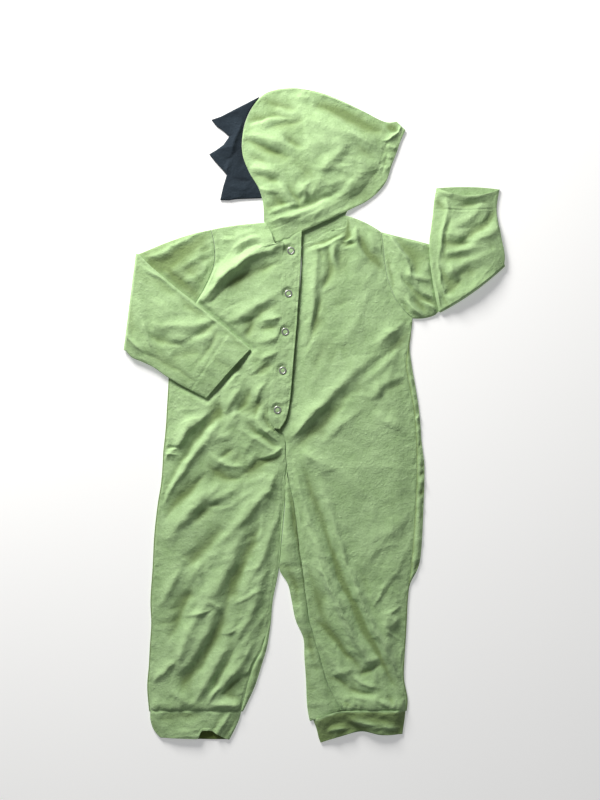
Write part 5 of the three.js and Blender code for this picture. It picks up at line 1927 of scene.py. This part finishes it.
@dataclass
class Snap:
    """A ring snap: a nickel ring with the placket's own cloth pressed up in its middle."""

    x: float
    y: float
    outer: float = 5.25
    inner: float = 3.35
    level: float = 6.2
    thick: float = 0.84
    around: int = 40

    def lathe(self, name: str, profile: Array, material: Material) -> Piece:
        """Turns a closed profile about the snap's axis.

        Args:
            name: The piece's name.
            profile: Radii and heights in millimetres.
            material: What it is made of.

        Returns:
            The object.
        """
        angle = np.linspace(0, 2 * np.pi, self.around, endpoint=False)[:, None]
        px = self.x + profile[:, 0] * np.cos(angle) / SQUARE
        py = self.y + profile[:, 0] * np.sin(angle) / SQUARE
        points = place(px, py, self.level + profile[:, 1] + 0 * angle)
        numbers = np.arange(points[..., 0].size).reshape(points.shape[:2])
        faces = quads(np.vstack([numbers, numbers[:1]]), loop=True)
        flat = points[..., :2].reshape(-1, 2)
        return make_piece(name, points.reshape(-1, 3), faces, flat, np.zeros(len(flat)), material)

    def build(self, number: int, metal: Material, cloth: Material) -> None:
        """Builds the snap's ring and its cloth middle.

        Args:
            number: Which snap it is, from the top.
            metal: What the ring is made of.
            cloth: The placket's cloth.
        """
        s = np.linspace(0, 2 * np.pi, 18, endpoint=False)
        radius = (self.outer + self.inner) / 2 + (self.outer - self.inner) / 2 * np.cos(s)
        height = self.thick / 2 * (1 + np.sign(np.sin(s)) * np.abs(np.sin(s)) ** 0.8)
        piece = self.lathe(f"snap_ring_{number}", np.stack([radius, height], axis=1), metal)
        declare(piece, Slot.METAL, (f"snap_{number}",))
        middle, brim = 0.05, self.inner - 0.06
        r = np.linspace(middle, brim, 7)
        dome = 0.12 + 0.38 * np.sqrt(np.clip(1 - (r / self.inner) ** 2, 0, 1))
        cap = np.concatenate([np.stack([r, dome], axis=1), [[brim, 0.0], [middle, 0.0]]])
        declare(self.lathe(f"snap_cloth_{number}", cap, cloth), Slot.GREEN)


@dataclass
class Needlework:
    """Rows of stitches, each a short raised thread laid on the cloth."""

    thread: Material
    length: float = 2.6
    pitch: float = 3.4
    thick: float = 0.42
    steepest: float = 0.0022  # metres from one end of a stitch to the other

    def ends(self, line: Array, cloth: BVHTree) -> list[tuple[Array, Array]]:
        """Both ends of each stitch on a line, dropped straight down onto the cloth.

        Args:
            line: Chart places.
            cloth: The surface that it is sewn into.

        Returns:
            Pairs of points, without the stitches that miss the cloth or would stand up steeply.
        """
        above = 60.0
        run = run_along(line)
        marks = np.arange(self.pitch / 2, run[-1], self.pitch)
        rows = [[np.interp(marks + s * self.length / 2, run, line[:, k]) for k in (0, 1)] for s in (-1, 1)]
        stitches = []
        for pair in zip(*(place(x, y, above) for x, y in rows)):
            hits = [cloth.ray_cast(Vector(point), Vector((0, 0, -1)))[0] for point in pair]
            if None in hits or abs(hits[0].z - hits[1].z) > self.steepest:
                continue
            stitches.append(tuple(np.array([point[0], point[1], hit.z]) for point, hit in zip(pair, hits)))
        return stitches

    def lay(self, name: str, lines: list[Array], cloth: Piece) -> Piece:
        """Lays stitches along lines, at the height of the cloth straight below.

        Each stitch is a lozenge tube: a diamond section that swells from its ends to its middle and arches
        a little out of the cloth.

        Args:
            name: The piece's name.
            lines: Lines of chart places.
            cloth: The piece they are sewn into.

        Returns:
            The joined stitches.
        """
        mesh = cloth.data
        tree = BVHTree.FromPolygons([v.co for v in mesh.vertices], [p.vertices for p in mesh.polygons])
        first, last = np.array([pair for line in lines for pair in self.ends(line, tree)]).transpose(1, 0, 2)
        middle, way = ((first + last) / 2)[:, None, None], ((last - first) / 2)[:, None, None]
        along = np.array([-1.0, -0.45, 0.45, 1.0])[None, :, None, None]
        swell = np.array([0.25, 1.0, 1.0, 0.25])[None, :, None, None]
        flat = np.stack([-way[..., 1], way[..., 0], 0 * way[..., 0]], axis=-1)
        flat /= np.linalg.norm(flat, axis=-1, keepdims=True)
        angle = np.arange(4) * np.pi / 2
        size = 0.0005 * self.thick
        ring = size * (np.cos(angle)[:, None] * flat + np.sin(angle)[:, None] * np.array([0.0, 0.0, 1.0]))
        points = middle + way * along + swell * ring + np.array([0, 0, 1]) * size * (swell - 0.5)
        stitches = len(points)
        numbers = np.arange(stitches * 16).reshape(stitches, 4, 4)
        sides = np.concatenate([quads(stitch, loop=True) for stitch in numbers])
        caps = np.concatenate([numbers[:, 0, ::-1], numbers[:, -1]])
        flat_points = points.reshape(-1, 3)
        faces = np.concatenate([sides, caps])
        plain = np.zeros(len(flat_points))
        return declare(make_piece(name, flat_points, faces, flat_points[:, :2], plain, self.thread), Slot.GREEN)


def polyline(*places: tuple[float, float]) -> Array:
    """A line through chart places."""
    return np.array(places, float)


def beside(table: Table, edge: str, other: str, inset: float) -> Array:
    """A line that keeps a set distance in from one edge of a table, towards the other.

    Args:
        table: The table.
        edge: The first letter of its columns for the edge.
        other: The first letter of its columns for the other edge.
        inset: The distance in squares.

    Returns:
        Places on the chart.
    """
    t = np.linspace(0, len(table) - 1, 160)
    near, far = (table.points(letter + "x", letter + "y", t) for letter in (edge, other))
    way = far - near
    return near + way / np.maximum(np.linalg.norm(way, axis=1, keepdims=True), 1e-6) * inset


@dataclass
class Studio:
    """The pale floor, the camera straight above and the soft light from the upper left."""

    view_height: float = 1.12
    camera_height: float = 1.5
    centre: tuple[float, float] = (-0.021, 0.0218)
    sensor: float = 36.0
    floor_size: float = 6.0

    def build(self) -> None:
        """Builds the floor, the camera and the lights."""
        bpy.ops.mesh.primitive_plane_add(size=self.floor_size, location=(0, 0, -0.0004))
        floor = bpy.context.object
        floor.name = "floor"
        floor.data.materials.append(FLOOR.build())
        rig.stage(floor)
        camera = bpy.data.objects.new("camera", bpy.data.cameras.new("camera"))
        camera.data.sensor_width = self.sensor
        camera.data.lens = self.sensor * self.camera_height / self.view_height
        camera.location = (*self.centre, self.camera_height)
        bpy.context.scene.collection.objects.link(camera)
        bpy.context.scene.camera = camera
        self.lamp("key", (-0.80, 1.48, 0.80), 0.70, 55.0, (1.0, 0.985, 0.95))
        self.lamp("fill", (0.5, -0.2, 2.2), 2.4, 2.2, (0.97, 0.99, 1.0))
        world = bpy.data.worlds.new("studio")
        world.use_nodes = True
        background = world.node_tree.nodes["Background"].inputs
        background["Color"].default_value = (0.95, 0.97, 1.0, 1)
        background["Strength"].default_value = 0.13
        bpy.context.scene.world = world
        bpy.context.scene.view_settings.view_transform = "Standard"

    @staticmethod
    def lamp(name: str, at: tuple[float, float, float], size: float, power: float, colour: Colour) -> None:
        """Adds a square area light that points at the middle of the garment.

        Args:
            name: Its name.
            at: Where it stands.
            size: Its side in metres.
            power: In watts.
            colour: Its colour.
        """
        data = bpy.data.lights.new(name, "AREA")
        data.size, data.energy, data.color = size, power, colour
        lamp = bpy.data.objects.new(name, data)
        lamp.location = at
        lamp.rotation_euler = (-Vector(at)).to_track_quat("-Z", "Y").to_euler()
        bpy.context.scene.collection.objects.link(lamp)


def build_sleeves(green: Material) -> tuple[Piece, Piece]:
    """Builds the right sleeve, folded over the chest, and the left one, turned back up at the elbow.

    Args:
        green: The cloth.

    Returns:
        Both sleeves.
    """
    right = FlatTube(
        "sleeve_right_tube",
        "sleeve_right",
        green,
        ([UPPER_ARM_CREASES, RIGHT_SLEEVE_SCATTER], [FOREARM_CREASES, RIGHT_SLEEVE_SCATTER]),
        (0.27, 0.32),
        seed=41,
        hem=0.3,
        opening=0.2,
        # Painted shade darkens the upper arm.
        shade=(-0.4, 0.0),
        covered=UNDER_FOREARM,
        crown=(3.2, 2.6),
        area=0.064,
    )
    left = FlatTube(
        "sleeve_left_tube",
        "sleeve_left",
        green,
        ([UPPER_ARM_CREASES, LEFT_SLEEVE_SCATTER], [FOREARM_CREASES, LEFT_SLEEVE_SCATTER]),
        (0.23, 0.28),
        seed=51,
        hem=0.3,
        opening=2.6,
        # Painted shade darkens the upper arm a little.
        shade=(-0.2, 0.0),
        covered=UNDER_LEFT_FOREARM,
        crown=(2.4, 3.4),
        area=0.055,
    )
    return (
        right.build(right.sleeve_stations(RIGHT_UPPER_ARM, RIGHT_FOREARM, RIGHT_ARMHOLE)),
        left.build(left.sleeve_stations(LEFT_UPPER_ARM, LEFT_FOREARM, LEFT_ARMHOLE)),
    )


def build_bands(green: Material) -> None:
    """Builds the ankle bands: the right one notched at its mouth, with painted shade inside it, and the left one
    drooping into real shade, with painted shade over it too.

    Args:
        green: The cloth.
    """
    right = FlatTube(
        "ankle_band_right_tube",
        "ankle_band_right",
        green,
        (BAND_FOLDS, BAND_FOLDS),
        (0.24, 0.038),
        seed=55,
        opening=1.6,
        slump=2.0,
        notch=(0.55, -8.5),
        # Painted shade on the lower layer inside the notched mouth.
        painted_inner_shade=1.6,
    )
    right.build(right.band_stations(RIGHT_BAND))
    left = FlatTube(
        "ankle_band_left_tube",
        "ankle_band_left",
        green,
        (BAND_FOLDS, BAND_FOLDS),
        (0.25, 0.034),
        seed=57,
        opening=1.6,
        slump=7.0,
        # Painted shade over the whole band.
        shade=(-1.10, 0.0),
        painted_shade_reach=4.0,
    )
    left.build(left.band_stations(LEFT_BAND))


def sew(thread: Material, cloths: dict[str, Piece], hem_width: float) -> None:
    """Lays every row of stitches that shows.

    Args:
        thread: What the stitches are made of.
        cloths: The pieces they are sewn into, by name.
        hem_width: Of the hood's face hem, in squares.
    """
    needle = Needlework(thread)
    placket_inset = 1.9
    edges = [beside(PLACKET_OUTER, "l", "r", placket_inset), beside(PLACKET_OUTER, "r", "l", placket_inset)]
    hem = beside(HOOD, "r", "c", hem_width)[4:120]
    neck_left = [
        polyline((302.6, 244.4), (319.6, 234.4), (331, 228.6), (342.4, 224.6)),
        polyline((300, 241.6), (317, 231.6), (330, 225.4), (342, 221.2)),
    ]
    neck_right = [polyline((260.4, 226.4), (271.6, 246.6)), polyline((257.6, 227), (269.4, 248.4))]
    upper_leg = ((290.6, 454), (296, 470), (299, 498), (302.7, 520), (305, 543), (308.8, 563))
    lower_leg = ((312.4, 585), (314.6, 606), (316.4, 634), (323, 657), (331, 684), (344, 706))
    needle.lay("placket_stitches", edges, cloths["placket"])
    needle.lay("hood_hem_stitches", [hem], cloths["hood_upper"])
    needle.lay("neck_left_stitches", neck_left, cloths["hood_under"])
    needle.lay("neck_right_stitches", neck_right, cloths["right_front"])
    needle.lay("sleeve_right_stitches", [polyline((235.4, 341), (201, 374), (187, 382.4))], cloths["right_sleeve"])
    needle.lay("sleeve_left_stitches", [polyline((434.6, 211.6), (465, 213.4), (494.6, 211))], cloths["left_sleeve"])
    needle.lay("inner_leg_stitches", [polyline(*upper_leg, *lower_leg)], cloths["left_front"])


def main() -> None:
    """Builds the garment and its setting in order."""
    logging.basicConfig(level=logging.INFO, format="%(name)s: %(message)s")
    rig.load()
    cad_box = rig.bounds()
    Studio().build()
    knit = knit_group()
    green, navy = GREEN_JERSEY.build(knit), NAVY_JERSEY.build(knit)
    metal, thread = NICKEL.build(), THREAD.build()
    right = BodyHalf(
        "right",
        1,
        RIGHT_ARMHOLE,
        RIGHT_BODY,
        RIGHT_FRONT_FOLDS,
        green,
        seed=11,
        shoulder_bow=1.4,
        placket_step=2.0,
        open_edge=1.0,
        collar=1.3,
        relief=1.3,
    )
    left = BodyHalf(
        "left",
        -1,
        LEFT_ARMHOLE,
        LEFT_BODY,
        LEFT_FRONT_FOLDS,
        green,
        seed=31,
        shoulder_bow=2.2,
        blouse=1.8,
        hang=6.0,
    )
    for half in (right, left):
        half.back()
    cloths = {"right_front": right.front(), "left_front": left.front()}
    cloths["right_sleeve"], cloths["left_sleeve"] = build_sleeves(green)
    build_bands(green)
    hood = Hood(green)
    cloths["hood_under"], cloths["hood_upper"] = hood.under(), hood.upper()
    SpikeStrip(navy).build()
    placket = Placket(green)
    placket.under()
    cloths["placket"] = placket.outer()
    for number, snap in enumerate(SNAP_PLACES.rows(), 1):
        Snap(**snap).build(number, metal, green)
    sew(thread, cloths, hood.hem_width)
    with open("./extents.json", "w") as out:
        json.dump({"cad": [list(map(float, p)) for p in cad_box], "visual": [list(map(float, p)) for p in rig.bounds()]}, out)


if __name__ == "__main__":
    main()
